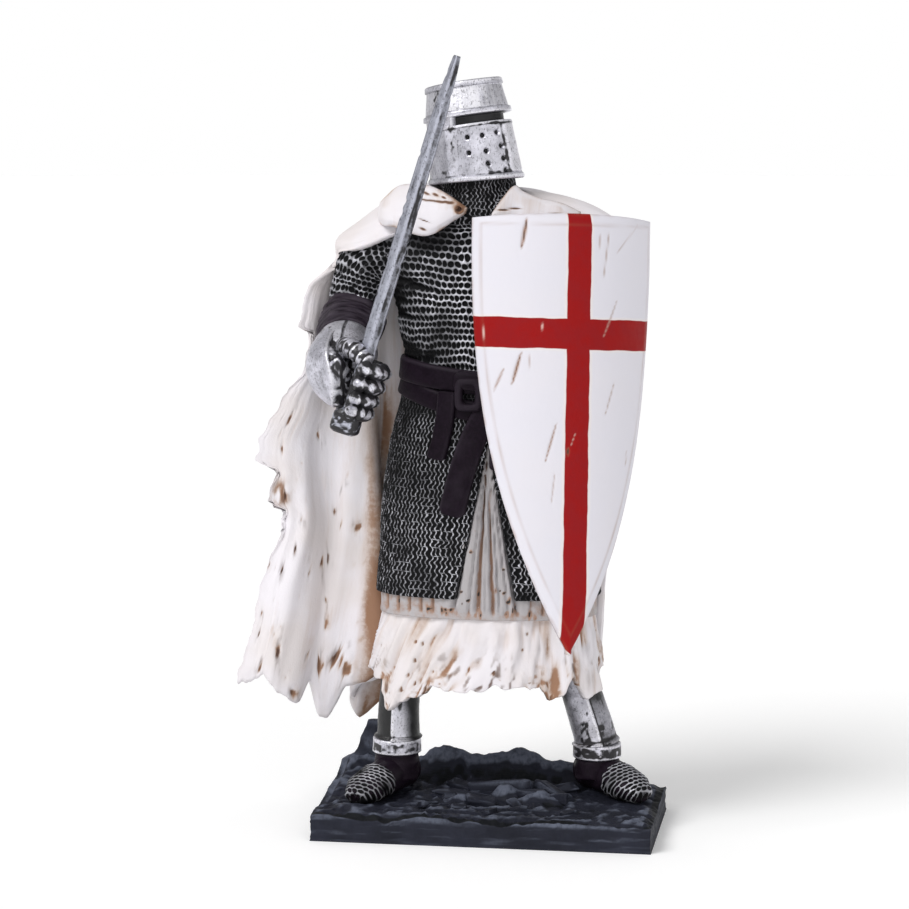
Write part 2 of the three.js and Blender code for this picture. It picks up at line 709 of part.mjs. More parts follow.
function knight() {
  const body = [
    mailCoat(),
    quiltedCoat(),
    surcoatSkirt(),
    leg(LEGS.right),
    leg(LEGS.left),
    solidOf(limb(RIGHT_ARM, 14, 1)),
    solidOf(limb(LEFT_ARM, 14, 1)),
    rightHand(),
    leftHand(),
    helm(),
    solidOf(sheet((s, t) => cloakPoint(s ** 1.4, t), 36, 18, CLOAK.thickness * u)),
    backing(),
    hood(),
    belt(),
  ].reduce((whole, next) => whole.add(next));
  const shieldSeat = solidOf(shieldGeometry(SHIELD.thickness + 2 * GAP, GAP));
  return cast(body.subtract(shieldSeat).subtract(swordSolid(GAP)));
}

const statuette = new THREE.Group();

function piece(name, solid, z, color, roughness, metalness) {
  const paint = new THREE.MeshStandardMaterial({ color, roughness, metalness });
  const mesh = new THREE.Mesh(geometryOf(solid), paint);
  mesh.name = name;
  mesh.position.z = z;
  statuette.add(mesh);
}

const figure = knight();
const seat = figure.add(figure.translate([0, 0, -GAP])).translate([0, 0, figureBase]);
piece("plinth", cast(plinth().subtract(seat)), 0, 0x33373f, 0.75, 0);
piece("knight", figure, figureBase, 0x9a958e, 0.6, 0.1);
piece("shield", cast(solidOf(shieldGeometry(SHIELD.thickness, 0))), figureBase, 0xe9e4dc, 0.5, 0);
piece("sword", swordSolid(0), figureBase, 0x8d9298, 0.4, 0.7);

export default statuette;
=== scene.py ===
# A hand-painted cast statuette of a medieval knight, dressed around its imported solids.
# Shapes are worked out in millimetres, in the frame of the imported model, and handed over in metres.
import math

import bpy
import numpy as np
from bpy.props import FloatProperty, FloatVectorProperty, PointerProperty
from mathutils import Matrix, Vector


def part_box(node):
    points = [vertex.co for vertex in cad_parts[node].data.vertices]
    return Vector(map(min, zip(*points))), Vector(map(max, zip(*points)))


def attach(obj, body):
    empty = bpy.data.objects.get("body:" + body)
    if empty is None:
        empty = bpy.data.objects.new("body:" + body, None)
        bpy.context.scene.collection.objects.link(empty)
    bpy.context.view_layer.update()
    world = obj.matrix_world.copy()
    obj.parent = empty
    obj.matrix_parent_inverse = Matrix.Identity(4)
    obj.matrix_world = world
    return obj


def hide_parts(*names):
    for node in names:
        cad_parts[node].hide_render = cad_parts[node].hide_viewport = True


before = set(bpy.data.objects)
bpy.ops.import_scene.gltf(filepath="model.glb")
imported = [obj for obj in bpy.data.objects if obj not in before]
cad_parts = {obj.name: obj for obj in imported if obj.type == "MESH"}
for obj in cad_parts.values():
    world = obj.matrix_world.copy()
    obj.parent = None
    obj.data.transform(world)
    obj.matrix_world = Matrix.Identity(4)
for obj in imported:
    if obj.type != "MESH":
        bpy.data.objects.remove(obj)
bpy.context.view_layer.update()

bl_info = {
    "name": "Knight Statuette",
    "version": (1, 0, 0),
    "blender": (4, 5, 0),
    "location": "View3D > Sidebar > Knight",
    "description": "Sculpts and paints a cast knight statuette on its rocky plinth",
    "category": "Add Mesh",
}

MM = 0.001
SOLE = 6.8  # height of the knight's soles, on the plinth's slab

# Sizes that the solids have too
AXIS_X, AXIS_Y = -3.0, 5.0  # of the trunk and the cloak
TRUNK_SQUARE = 2.3
TRUNK = [  # height above the soles, middle x, half width, half depth
    [50.5, -1.6, 27.6, 14.3], [68, -1.8, 26.2, 13.6], [87, -2.0, 23.9, 12.6], [99, -2.5, 20.4, 11.6],
    [106, -3.0, 18.6, 11.0], [111, -3.2, 18.0, 10.8], [121, -3.5, 21.0, 12.2], [131, -3.5, 25.5, 12.6],
    [138, -3.5, 26.5, 11.0], [143, -3.6, 18.0, 9.4], [147, -3.8, 9.5, 8.6],
]
MAIL_HEM, WAIST = 50.5, 103.5
MAIL_STEP = 0.36  # from point to point of the mail's mesh
QUILT_HEM = 45.5
SPLIT_TOP = (0.0, 88.0)
SPLIT_LEFT, SPLIT_RIGHT = -8.4, 7.4
SURCOAT_EDGE = [  # degrees round from the front, and height of the torn hem
    [-180, 34], [-110, 34], [-84, 30.5], [-65, 28.7], [-54, 21.9], [-42, 24.2], [-35, 26], [-30, 26.3],
    [-23, 28.7], [-10, 27.9], [0, 28.5], [5, 30.1], [12, 29.4], [29, 29.4], [35, 25.9], [40, 27.5],
    [49, 32], [58, 28.2], [63, 25.9], [75, 27.5], [84, 32.7], [110, 34], [180, 34],
]
CLOAK_HEM = 21.0
CLOAK_ROUND, CLOAK_DOWN = 150, 120  # the cloak laid flat
CLOAK_THICKNESS, SURCOAT_THICKNESS = 2.4, 2.2
YOKE = 0.17
SHOULDER_Z = 136.0
FALL = [  # height, half width and depth behind the axis, how far back the far edge hangs
    [16, 33, 20, 54], [50, 32.5, 18, 60], [84, 34.5, 17, 72], [117, 38, 16.2, 90], [136, 36.4, 14.4, 98],
]
WING = [  # height and distance of the free edge from the axis
    [24, 61.5], [46, 56.2], [66, 49.4], [69, 48.2], [71, 53.4], [79, 50.8], [81, 55.8], [87, 55],
    [96, 49.6], [105, 43], [114, 41], [116, 44.8], [128, 42.6], [136, 34.4],
]
WING_INSIDE = [  # the same a little inside the edge, without its torn steps
    [24, 61.5], [46, 56.2], [66, 52], [80, 54.5], [87, 55], [96, 50], [105, 44.5], [116, 43.6],
    [128, 42.2], [136, 34.4],
]
HEM = [  # place along the hem and its height
    [0, 25.5], [0.05, 28.5], [0.093, 21.6], [0.106, 20.8], [0.134, 26.5], [0.153, 16.6], [0.166, 15.6],
    [0.185, 24.5], [0.22, 28], [0.25, 24], [0.285, 14], [0.32, 22], [0.45, 26],
]
PLEAT_AT, PLEAT_SPAN, PLEAT_DEPTH = -0.5, 0.16, 7.0
ROCK_UNDER = 0.285
FIST = np.array([-28.4, -22.5, 104.2 + SOLE])
SWORD_LINE = np.array([0.3, 0.055, 1.0]) / math.hypot(0.3, 0.055, 1.0)
GRIP, GRIP_RADIUS, BLADE, BLADE_WIDTH, BLADE_THICKNESS = 13.0, 1.7, 72.5, 4.2, 1.9
POMMEL = 6.2
HELM_BASE = np.array([-4.3, 3.4, 150 + SOLE])
HELM_TURN, HELM_TILT = 65.0, 9.5
SHIELD_HEIGHT, SHIELD_RADIUS, SHIELD_SPREAD, SHIELD_THICKNESS = 103.0, 33.0, 43.0, 2.2
SHIELD_CROWN, SHIELD_ABOVE = 1.3, 0.269
SHIELD_CROSS = np.array([21.5, -16.4, 115.8 + SOLE])
SHIELD_TURN, SHIELD_LEAN, SHIELD_ROLL = 28.5, -4.5, 2.5
LEGS = {
    "right": dict(
        hip=(-19, 4, 46), calf=(-23.6, 4, 25), ankle=(-24.2, 4.4, 12.8), toe=(-31.4, -13.4), heel=(-22, 10.2)
    ),
    "left": dict(
        hip=(15.5, 9, 46), calf=(21, 10.5, 25), ankle=(24.6, 11.2, 11.6), toe=(37, -0.6), heel=(20.6, 16.4)
    ),
}
RIGHT_ARM = [
    [-24, 5, 132.6, 7.9], [-30, 5.5, 130.2, 8.1], [-32.6, 6, 124, 7.6], [-34.4, 5, 116.5, 6.9],
    [-34.8, -3, 112.4, 6.6], [-34, -10, 109.6, 6.4],
]
LEFT_ARM = [
    [17, 5, 133, 8], [22.5, 5.5, 130.5, 7.8], [26, 6.4, 124, 7.2], [26.8, 6, 115, 6.9],
    [25, -2, 110.5, 6.6], [19.5, -9.5, 109, 6],
]


# Settings that a user would change


def shade(name, description, red, green, blue):
    """A colour property from its everyday 0 to 255 values."""
    linear = [
        (c / 255 / 12.92 if c <= 10 else ((c / 255 + 0.055) / 1.055) ** 2.4) for c in (red, green, blue)
    ]
    return FloatVectorProperty(
        name=name, description=description, subtype="COLOR", size=3, min=0, max=1, default=linear
    )


def length(name, description, millimetres):
    return FloatProperty(
        name=name, description=description, subtype="DISTANCE", default=millimetres * MM, min=0
    )


class ClothSettings(bpy.types.PropertyGroup):
    colour: shade("Cloth", "Off-white paint of the cloak, hood and surcoat", 228, 224, 229)
    # The washes also lay painted shade: the tan and brown inside the cloak, and the tear brown over the
    # surcoat.
    wash: shade("Brown wash", "Thin brown paint in folds, tears and hems", 150, 112, 86)
    tan: shade("Tan wash", "Thinnest wash, on the folds and hems", 188, 163, 144)
    deep_wash: shade("Tear brown", "Dark brown in the pits and tears", 78, 52, 40)
    fold: length("Fold depth", "How far the fine folds stand out", 0.75)
    tatter: length("Tatter", "How ragged the torn hems are", 1.3)


class MailSettings(bpy.types.PropertyGroup):
    black: shade("Mail black", "Paint in the gaps of the mail", 10, 10, 12)
    silver: shade("Ring silver", "Dry-brushed paint on the rings", 218, 218, 226)
    chest_pitch: length("Chest ring pitch", "Distance from ring to ring on the chest and sleeves", 1.4)
    skirt_pitch: length("Skirt ring pitch", "Distance from column to column on the skirt", 1.2)
    relief: length("Ring relief", "How deep the gaps between the rings are", 0.42)


class SteelSettings(bpy.types.PropertyGroup):
    silver: shade("Steel paint", "Antique silver of the helm, greaves and gauntlets", 220, 219, 230)
    # The dark wash also lays painted shade on the greaves under the hem and on the blade's right face.
    wash: shade("Dark wash", "Black-brown wash in the recesses", 30, 28, 32)
    blade: shade("Blade paint", "Grey steel of the sword", 172, 174, 186)
    dent: length("Dents", "How deep the hammered dents are", 0.12)


class LeatherSettings(bpy.types.PropertyGroup):
    colour: shade("Leather", "Dark purple-brown of the belts and boots", 22, 14, 23)
    quilt: shade("Quilting", "Grey-white of the quilted coat", 172, 168, 170)


class ShieldSettings(bpy.types.PropertyGroup):
    white: shade("Shield white", "Field of the shield", 218, 216, 224)
    red: shade("Cross red", "The plain cross", 147, 6, 7)
    upright: length("Upright width", "Width of the cross's upright", 6.0)
    bar: length("Bar width", "Width of the cross's bar", 7.1)
    bevel: length("Bevel", "Width of the chamfer along the rim", 2.6)


class PlinthSettings(bpy.types.PropertyGroup):
    slate: shade("Slate", "Dark slate grey of the plinth", 38, 40, 51)
    highlight: shade("Slate highlight", "Dry-brushed grey on the ridges", 92, 97, 111)
    relief: length("Ground relief", "Height of the tallest broken ground over the slab", 4.6)
    thickness: length("Slab", "Thickness of the slab", 6.5)


class StageSettings(bpy.types.PropertyGroup):
    floor: shade("Floor", "Plain pale floor", 255, 255, 255)
    key: FloatProperty(name="Key light", description="Strength of the main soft light", default=1.75, min=0)
    fill: FloatProperty(name="Fill light", description="Strength of the fill light", default=0.45, min=0)
    sky: FloatProperty(name="Surround", description="Strength of the white surround", default=1.0, min=0)


class StatuetteSettings(bpy.types.PropertyGroup):
    cloth: PointerProperty(type=ClothSettings)
    mail: PointerProperty(type=MailSettings)
    steel: PointerProperty(type=SteelSettings)
    leather: PointerProperty(type=LeatherSettings)
    shield: PointerProperty(type=ShieldSettings)
    plinth: PointerProperty(type=PlinthSettings)
    stage: PointerProperty(type=StageSettings)


def settings():
    return bpy.context.scene.knight_statuette


# Numbers and curves


def mix(a, b, k):
    return a + (b - a) * k


def clamp(x):
    return np.clip(x, 0, 1)


def even(count):
    """Shares from 0 to 1."""
    return np.linspace(0, 1, count)


def full_turn(count):
    """Angles of a full turn, without the last one."""
    return np.linspace(0, 2 * math.pi, count, endpoint=False)


def ease(x, low, high):
    k = clamp((x - low) / (high - low))
    return k * k * (3 - 2 * k)


def along(rows, key, column):
    """A value read between the rows of a short profile, by its first column."""
    rows = np.asarray(rows, float)
    x, y = rows[:, 0], rows[:, column]
    key = np.clip(key, x[0], x[-1])
    i = np.clip(np.searchsorted(x, key, side="right") - 1, 0, len(x) - 2)
    k = (key - x[i]) / (x[i + 1] - x[i])
    return y[i] + (y[i + 1] - y[i]) * (k + k * k * (3 - 2 * k)) / 2


def power(v, exponent):
    return np.sign(v) * np.abs(v) ** exponent


def place(x, y, z):
    """Points of the figure, with z measured from its soles."""
    return flat(x, y, z + SOLE)


def unit(v):
    return v / np.maximum(np.linalg.norm(v, axis=-1, keepdims=True), 1e-12)


def run_of(points, axis=0):
    """Distance travelled along one axis of a grid of points."""
    gaps = np.linalg.norm(np.diff(points, axis=axis), axis=-1)
    start = np.zeros_like(np.take(gaps, [0], axis=axis))
    return np.concatenate([start, np.cumsum(gaps, axis=axis)], axis=axis)


def hashed(x, y, z, seed):
    h = (x * 374761393 + y * 668265263 + z * 1274126177 + seed * 974711) & 0xFFFFFFFF
    h = ((h ^ (h >> 13)) * 1103515245) & 0xFFFFFFFF
    h = ((h ^ (h >> 16)) * 2654435761) & 0xFFFFFFFF
    return ((h ^ (h >> 15)) & 0xFFFFFF) / float(0xFFFFFF)


def noise(points, cell, seed=0):
    """Smooth noise from -1 to 1 over points, with bumps about one cell wide."""
    q = np.asarray(points, float) / cell + 1000.5
    low = np.floor(q).astype(np.int64)
    f = q - low
    f = f * f * (3 - 2 * f)
    total = 0
    for corner in np.ndindex(2, 2, 2):
        near = np.prod(np.where(corner, f, 1 - f), -1)
        total = total + near * hashed(*np.moveaxis(low + corner, -1, 0), seed)
    return total * 2 - 1


def mottled(points, cell, seed, low, high):
    """Soft-edged patches, 0 where the noise is low and 1 where it is high."""
    return ease(noise(points, cell, seed), low, high)


def rough(points, cell, seed=0, octaves=3):
    total, size = 0, 1.0
    for octave in range(octaves):
        total = total + size * noise(points, cell / 2**octave, seed + octave)
        size *= 0.5
    return total / (2 - 2 * size)


def ridges(points, cell, seed=0):
    return 1 - 2 * np.abs(noise(points, cell, seed))


def flaky(points, cell, seed, steps=3):
    """Smooth noise cut into worn steps, like stone that has split along its layers."""
    level = (rough(points, cell, seed) + 1) / 2 * steps
    low = np.floor(level)
    return (low + ease(level - low, 0.5, 0.95)) / steps


def crease(values, width=0.08):
    """Thin lines where smooth noise passes through nought."""
    return np.exp(-((values / width) ** 2))


def flat(x, y, z=0.0):
    return np.stack(np.broadcast_arrays(x, y, z), -1).astype(float)


def blob(x, y, cx, cy, rx, ry):
    return np.exp(-(((x - cx) / rx) ** 2) - ((y - cy) / ry) ** 2)


# Closed shells gathered into meshes


def quads(rows, columns, closed, first=0):
    i, j = np.meshgrid(np.arange(rows - 1), np.arange(columns if closed else columns - 1), indexing="ij")
    a, b = i * columns + j, i * columns + (j + 1) % columns
    return np.stack([a, b, b + columns, a + columns], -1).reshape(-1, 4) + first


def placed(name, data):
    made = bpy.data.objects.new(name, data)
    bpy.context.scene.collection.objects.link(made)
    return made


class Shells:
    """Gathers closed shells and the marks that their paint follows."""

    # Marks that lighten and darken the paint: wear and dry-brushing, stains and washes, and in places painted
    # highlight and painted shade.
    MARKS = ("wear_and_highlight", "stain_and_shade", "tone")

    def __init__(self):
        self.points, self.faces, self.marks, self.maps, self.count = [], [], [], [], 0

    def add(self, points, faces, marks=None, surface=None):
        """A closed shell, with values at its points and a map of them in ring cells or millimetres."""
        points = np.asarray(points, float)
        marks = marks or {}
        self.marks.append([np.broadcast_to(marks.get(m, 0.0), points.shape[:-1]).ravel() for m in self.MARKS])
        points = points.reshape(-1, 3)
        volume = 0.0
        for face in faces:
            corners = points[face.reshape(-1, face.shape[-1])]
            for k in range(1, corners.shape[1] - 1):
                volume += np.einsum("ij,ij->", corners[:, 0], np.cross(corners[:, k], corners[:, k + 1]))
        self.faces += [
            face.reshape(-1, face.shape[-1])[:, :: 1 if volume > 0 else -1] + self.count for face in faces
        ]
        self.points.append(points)
        self.maps.append(
            np.zeros((len(points), 3)) if surface is None else np.asarray(surface, float).reshape(-1, 3)
        )
        self.count += len(points)
        return self

    def stack(self, rings, marks=None, surface=None):
        """A skin over a stack of closed rings, with flat ends."""
        rows, columns = rings.shape[:2]
        body = quads(rows, columns, True)
        end = np.arange(columns)
        return self.add(rings, [body, end[::-1][None], (end + (rows - 1) * columns)[None]], marks, surface)

    def slab(self, front, back, marks=None, surface=None, closed=False):
        """Two sheets of points, joined round their edges."""
        rows, columns = front.shape[:2]
        n = rows * columns
        grid = np.arange(n).reshape(rows, columns)
        if closed:
            grid = np.concatenate([grid, grid[:, :1]], 1)
        loops = [grid[0], grid[-1][::-1]]
        if not closed:
            loops += [grid[::-1, 0], grid[:, -1]]
        rims = [np.stack([e[1:], e[:-1], e[:-1] + n, e[1:] + n], -1) for e in loops]
        faces = [quads(rows, columns, closed), quads(rows, columns, closed)[:, ::-1] + n, *rims]
        pairs = {m: v if isinstance(v, tuple) else (v, v) for m, v in (marks or {}).items()}
        both = {
            m: np.stack([np.broadcast_to(side, (rows, columns)) for side in pair])
            for m, pair in pairs.items()
        }
        mapped = None if surface is None else np.stack([surface] * 2)
        return self.add(np.stack([front, back]), faces, both, mapped)

    def hoop(self, rings, marks=None, surface=None):
        """A skin over closed rings whose last one joins the first."""
        rows, columns = rings.shape[:2]
        return self.add(rings, [quads(rows + 1, columns, True) % (rows * columns)], marks, surface)

    def patches_and_hem_shade(self, grids, weld=1e-4):
        """Grids whose edges meet, welded into one shell."""
        points = np.concatenate([g.reshape(-1, 3) for g in grids])
        keys, back = np.unique(np.round(points / weld).astype(np.int64), axis=0, return_inverse=True)
        back = back.ravel()
        first, faces = 0, []
        for g in grids:
            faces.append(back[quads(g.shape[0], g.shape[1], False, first)])
            first += g.shape[0] * g.shape[1]
        return keys * weld, faces

    def build(self, name, slot, node="knight", look=None):
        mesh = bpy.data.meshes.new(name)
        points = np.concatenate(self.points) * MM
        sizes = np.concatenate([np.full(len(f), f.shape[1]) for f in self.faces])
        corners = np.concatenate([f.ravel() for f in self.faces])
        mesh.vertices.add(len(points))
        mesh.vertices.foreach_set("co", points.astype(np.float32).ravel())
        mesh.loops.add(len(corners))
        mesh.loops.foreach_set("vertex_index", corners.astype(np.int32))
        mesh.polygons.add(len(sizes))
        mesh.polygons.foreach_set("loop_start", (np.cumsum(sizes) - sizes).astype(np.int32))
        mesh.polygons.foreach_set("use_smooth", np.ones(len(sizes), bool))
        mesh.update(calc_edges=True)
        if mesh.validate():
            raise RuntimeError(f"the mesh of {name} has bad faces")
        for index, mark in enumerate(self.MARKS):
            values = np.concatenate([m[index] for m in self.marks]).astype(np.float32)
            mesh.attributes.new(mark, "FLOAT", "POINT").data.foreach_set("value", values)
        mapped = np.concatenate(self.maps).astype(np.float32)
        mesh.attributes.new("surface", "FLOAT_VECTOR", "POINT").data.foreach_set("vector", mapped.ravel())
        mesh.materials.append((look or LOOKS[slot])())
        piece = placed(name, mesh)
        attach(piece, "root")
        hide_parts(node)


def normals(points):
    """Unit normals of a grid of points."""
    return unit(np.cross(np.gradient(points, axis=1), np.gradient(points, axis=0)))


def spline(points, shares):
    """A smooth curve through points, read at shares of its length in points."""
    p = np.asarray(points, float)
    ends = np.vstack([2 * p[0] - p[1], p, 2 * p[-1] - p[-2]])
    spot = clamp(shares) * (len(p) - 1)
    i = np.clip(np.floor(spot), 0, len(p) - 2).astype(int)
    w = (spot - i)[:, None]
    a, b, c, d = ends[i], ends[i + 1], ends[i + 2], ends[i + 3]
    d0, d1, d2 = [np.sqrt(np.linalg.norm(v, axis=1))[:, None] for v in (b - a, c - b, d - c)]
    t1 = ((b - a) / d0 - (c - a) / (d0 + d1) + (c - b) / d1) * d1
    t2 = ((c - b) / d1 - (d - b) / (d1 + d2) + (d - c) / d2) * d1
    return (
        b * (2 * w**3 - 3 * w**2 + 1) + t1 * (w**3 - 2 * w**2 + w) + c * (3 * w**2 - 2 * w**3)
        + t2 * (w**3 - w**2)
    )


def between(values, shares):
    values = np.asarray(values, float)
    return np.interp(clamp(shares) * (len(values) - 1), np.arange(len(values)), values)


class Limb:
    """Rings round a smooth line through stations [x, y, z, half width, half height]."""

    ENDS = 5  # rows that round off each end

    def __init__(self, stations, rows, around, upright=None, reach=0.35):
        stations = [list(s) + [s[3]] * (5 - len(s)) for s in stations]
        centres = [[x, y, z + SOLE] for x, y, z, _, _ in stations]
        shares = even(rows)
        middle = spline(centres, shares)
        line = unit(np.gradient(middle, axis=0))
        width, height = [between([s[k] for s in stations], shares) for k in (3, 4)]
        side = np.zeros_like(line)
        start = np.array([0.0, 0, 1]) if upright is None else np.asarray(upright, float)
        last = np.cross(start, line[0])
        if np.linalg.norm(last) < 0.2:
            last = np.array([1.0, 0, 0])
        for i, tangent in enumerate(line):
            aim = last if upright is None else np.cross(start, tangent)
            last = unit(aim - tangent * (aim @ tangent))
            side[i] = last
        q = np.sin(np.linspace(math.pi / 2, 0, self.ENDS, endpoint=False))
        shrink = 0.45 + 0.55 * np.cos(np.arcsin(q))
        grow = reach * np.minimum(width, height)
        self.middle = np.concatenate(
            [
                middle[0] - line[0] * q[:, None] * grow[0], middle,
                middle[-1] + line[-1] * q[::-1, None] * grow[-1]
            ]
        )
        self.side, self.line, width, height = [
            np.concatenate([np.repeat(v[:1], self.ENDS, 0), v, np.repeat(v[-1:], self.ENDS, 0)])
            for v in (side, line, width, height)
        ]
        taper = np.concatenate([shrink, np.ones(rows), shrink[::-1]])
        self.width, self.height = width * taper, height * taper
        self.rise = np.cross(self.line, self.side)
        self.angles = full_turn(around)
        self.run = run_of(self.middle)

    def rings(self, lift=0.0):
        """Rings with their points lifted off the limb."""
        c, s = np.cos(self.angles)[None, :, None], np.sin(self.angles)[None, :, None]
        lift = np.broadcast_to(lift, (len(self.middle), len(self.angles)))[..., None]
        wide, high = self.width[:, None, None] + lift, self.height[:, None, None] + lift
        return self.middle[:, None] + self.side[:, None] * c * wide + self.rise[:, None] * s * high

    def grid(self):
        """Angle and run of each point."""
        return np.meshgrid(self.angles, self.run)


# Surfaces of the figure, as the solids have them


def trunk_point(angle, z, proud=0.0):
    exponent = 2 / TRUNK_SQUARE
    x = along(TRUNK, z, 1) + (along(TRUNK, z, 2) + proud) * power(np.sin(angle), exponent)
    y = AXIS_Y - (along(TRUNK, z, 3) + proud) * power(np.cos(angle), exponent)
    return place(x, y, z)


def trunk_angle(x, z):
    """The angle round the trunk's front at which it has this x."""
    part = np.clip((x - along(TRUNK, z, 1)) / along(TRUNK, z, 2), -0.99, 0.99)
    return np.sign(part) * np.arcsin(np.abs(part) ** (TRUNK_SQUARE / 2))


FINE_ANGLES = np.linspace(0, math.pi, 3000)
FINE_RUN = run_of(trunk_point(FINE_ANGLES, 90.0))


def round_share(angle):
    """How far round the trunk an angle is, from -0.5 to 0.5 and on."""
    turns = np.round(angle / (2 * math.pi))
    rest = angle - turns * 2 * math.pi
    return turns + np.sign(rest) * np.interp(np.abs(rest), FINE_ANGLES, FINE_RUN) / FINE_RUN[-1] / 2


def angles_round(step, reach=115.0, behind=16):
    """Angles from 0 to a full turn, a step of millimetres apart in front and coarse behind."""
    edge = np.interp(math.radians(reach), FINE_ANGLES, FINE_RUN)
    runs = np.concatenate([np.arange(0, edge, step), np.linspace(edge, FINE_RUN[-1], behind)])
    half = np.interp(runs, FINE_RUN, FINE_ANGLES)
    return np.concatenate([half, 2 * math.pi - half[-2::-1]])


def from_front(angle):
    """Degrees round from the front, from -180 to 180, for angles from 0 to a full turn."""
    return np.degrees(angle) - np.where(angle > math.pi, 360, 0)


def surcoat_point(angle, t, proud=0.0, torn=0.0):
    z = mix(QUILT_HEM + 3, along(SURCOAT_EDGE, from_front(angle), 1) + torn, t)
    point = trunk_point(angle, MAIL_HEM + 0 * z, mix(-SURCOAT_THICKNESS, 0.6, t) + proud)
    point[..., 2] = z + SOLE
    return point


def cloak_hem(s):
    tatters = 1.8 * np.sin(41 * s + 0.5) + 1.3 * np.sin(67 * s + 1.1)
    back = CLOAK_HEM + 5 + tatters
    return mix(along(HEM, s, 1), back, ease(s, 0.4, 0.5))


def cloak_point(s, t, torn=0.0):
    side = 2 * s - 1
    yoke = clamp(t / YOKE)
    fall = clamp((t - YOKE) / (1 - YOKE))
    shoulder = SHOULDER_Z - 4 * ease(side, 0.2, 1)
    z = mix(shoulder, cloak_hem(s) + torn, fall)
    width, depth, far_edge = [along(FALL, z, column) for column in (1, 2, 3)]
    reach = mix(168, np.where(side > 0, far_edge - 4, 98), yoke**0.85)
    angle = np.radians(side * reach)
    over = np.sin(yoke * math.pi / 2)
    width, depth = mix(10.5, width, over), mix(9.6, depth, over)  # from the neck's size
    front = np.maximum(0, -np.cos(angle))
    dip = front * (8 * np.sin(yoke * math.pi) + 3 * (1 - yoke))
    rise = 11 * np.cos(yoke * math.pi / 2) - dip
    folds = fall * (1.2 * np.sin(side * 15 + fall * 1.5) + 0.8 * np.sin(side * 27 + 1))
    free_edge = mix(along(WING_INSIDE, z, 1), along(WING, z, 1), clamp(-side) ** 12)
    square = 1 - np.maximum(fall * np.where(side < 0, 0.3, 0.1), 0.2 * yoke * (1 - fall))
    x = AXIS_X + (width + folds) * power(np.sin(angle), square)
    y = AXIS_Y + (depth + folds) * power(np.cos(angle), square)
    opened = ease(yoke, 0.6, 1) * clamp((-side - 0.4) / 0.6) ** 1.5
    wave = fall * np.sin(opened * 9 - 1) * np.sin(opened * math.pi) * 2.2
    turn = (side - PLEAT_AT) / PLEAT_SPAN
    deep = PLEAT_DEPTH * fall**1.5
    pleat = deep * np.sin(turn * math.pi) * np.exp(-turn * turn)
    tuck = 0.5 * deep * np.exp(-3 * (turn + 0.4) ** 2)
    tongue = 3.2 * fall**3 * crease(s - 0.265, 0.028)
    x = mix(x, AXIS_X - free_edge, opened) - pleat - tongue
    droop = 4.5 * ease(-x, 20, 36) * (1 - ease(fall, 0.0, 0.3))
    return place(x, mix(y, AXIS_Y - 1.5, opened) + wave - tuck, z + rise - droop)


def shield_point(s, t, out=0.0):
    """A place on the shield, some millimetres in front of its middle, and its place on the flat board."""
    down = t * SHIELD_HEIGHT
    spread = np.maximum(math.radians(SHIELD_SPREAD) * (1 - clamp(t) ** 2.45), math.radians(1.2))
    angle = (2 * s - 1) * spread
    radius = SHIELD_RADIUS + out
    crown = SHIELD_CROWN * (1 - t) * (2 * s - 1) ** 2
    height = SHIELD_HEIGHT * SHIELD_ABOVE - down - crown
    point = flat(radius * np.sin(angle), SHIELD_RADIUS - radius * np.cos(angle), height)
    board = flat(SHIELD_RADIUS * angle, point[..., 2])
    for axis, degrees in ((1, SHIELD_ROLL), (0, SHIELD_LEAN), (2, SHIELD_TURN)):
        point = turned(point, axis, degrees)
    return point + SHIELD_CROSS, board


SWORD_ACROSS = unit(np.array([1.0, 0, 0]) - SWORD_LINE * SWORD_LINE[0])
SWORD_BACK = np.cross(SWORD_LINE, SWORD_ACROSS)


def sword_point(across, back, up):
    """A place beside the sword's line, behind it and up along it from the fist."""
    return FIST + SWORD_ACROSS * across[..., None] + SWORD_BACK * back[..., None] + SWORD_LINE * up[..., None]


def turned(points, axis, degrees):
    """Points turned about the x, y or z axis."""
    c, s = math.cos(math.radians(degrees)), math.sin(math.radians(degrees))
    a, b = [(1, 2), (2, 0), (0, 1)][axis]
    out = points.copy()
    out[..., a] = points[..., a] * c - points[..., b] * s
    out[..., b] = points[..., a] * s + points[..., b] * c
    return out


# Shader graphs


def wired(operation, swapped=False):
    """One sum of the class below, as a Math node."""

    def work(*values):
        return values[0].graph.math(operation, *(values[::-1] if swapped else values))

    return work


class Wire:
    """A socket's value, which adds and multiplies as a number does."""

    __add__, __sub__, __rsub__ = wired("ADD"), wired("SUBTRACT"), wired("SUBTRACT", True)
    __mul__, __truediv__, __abs__ = wired("MULTIPLY"), wired("DIVIDE"), wired("ABSOLUTE")

    def __init__(self, graph, socket):
        self.graph, self.socket = graph, socket


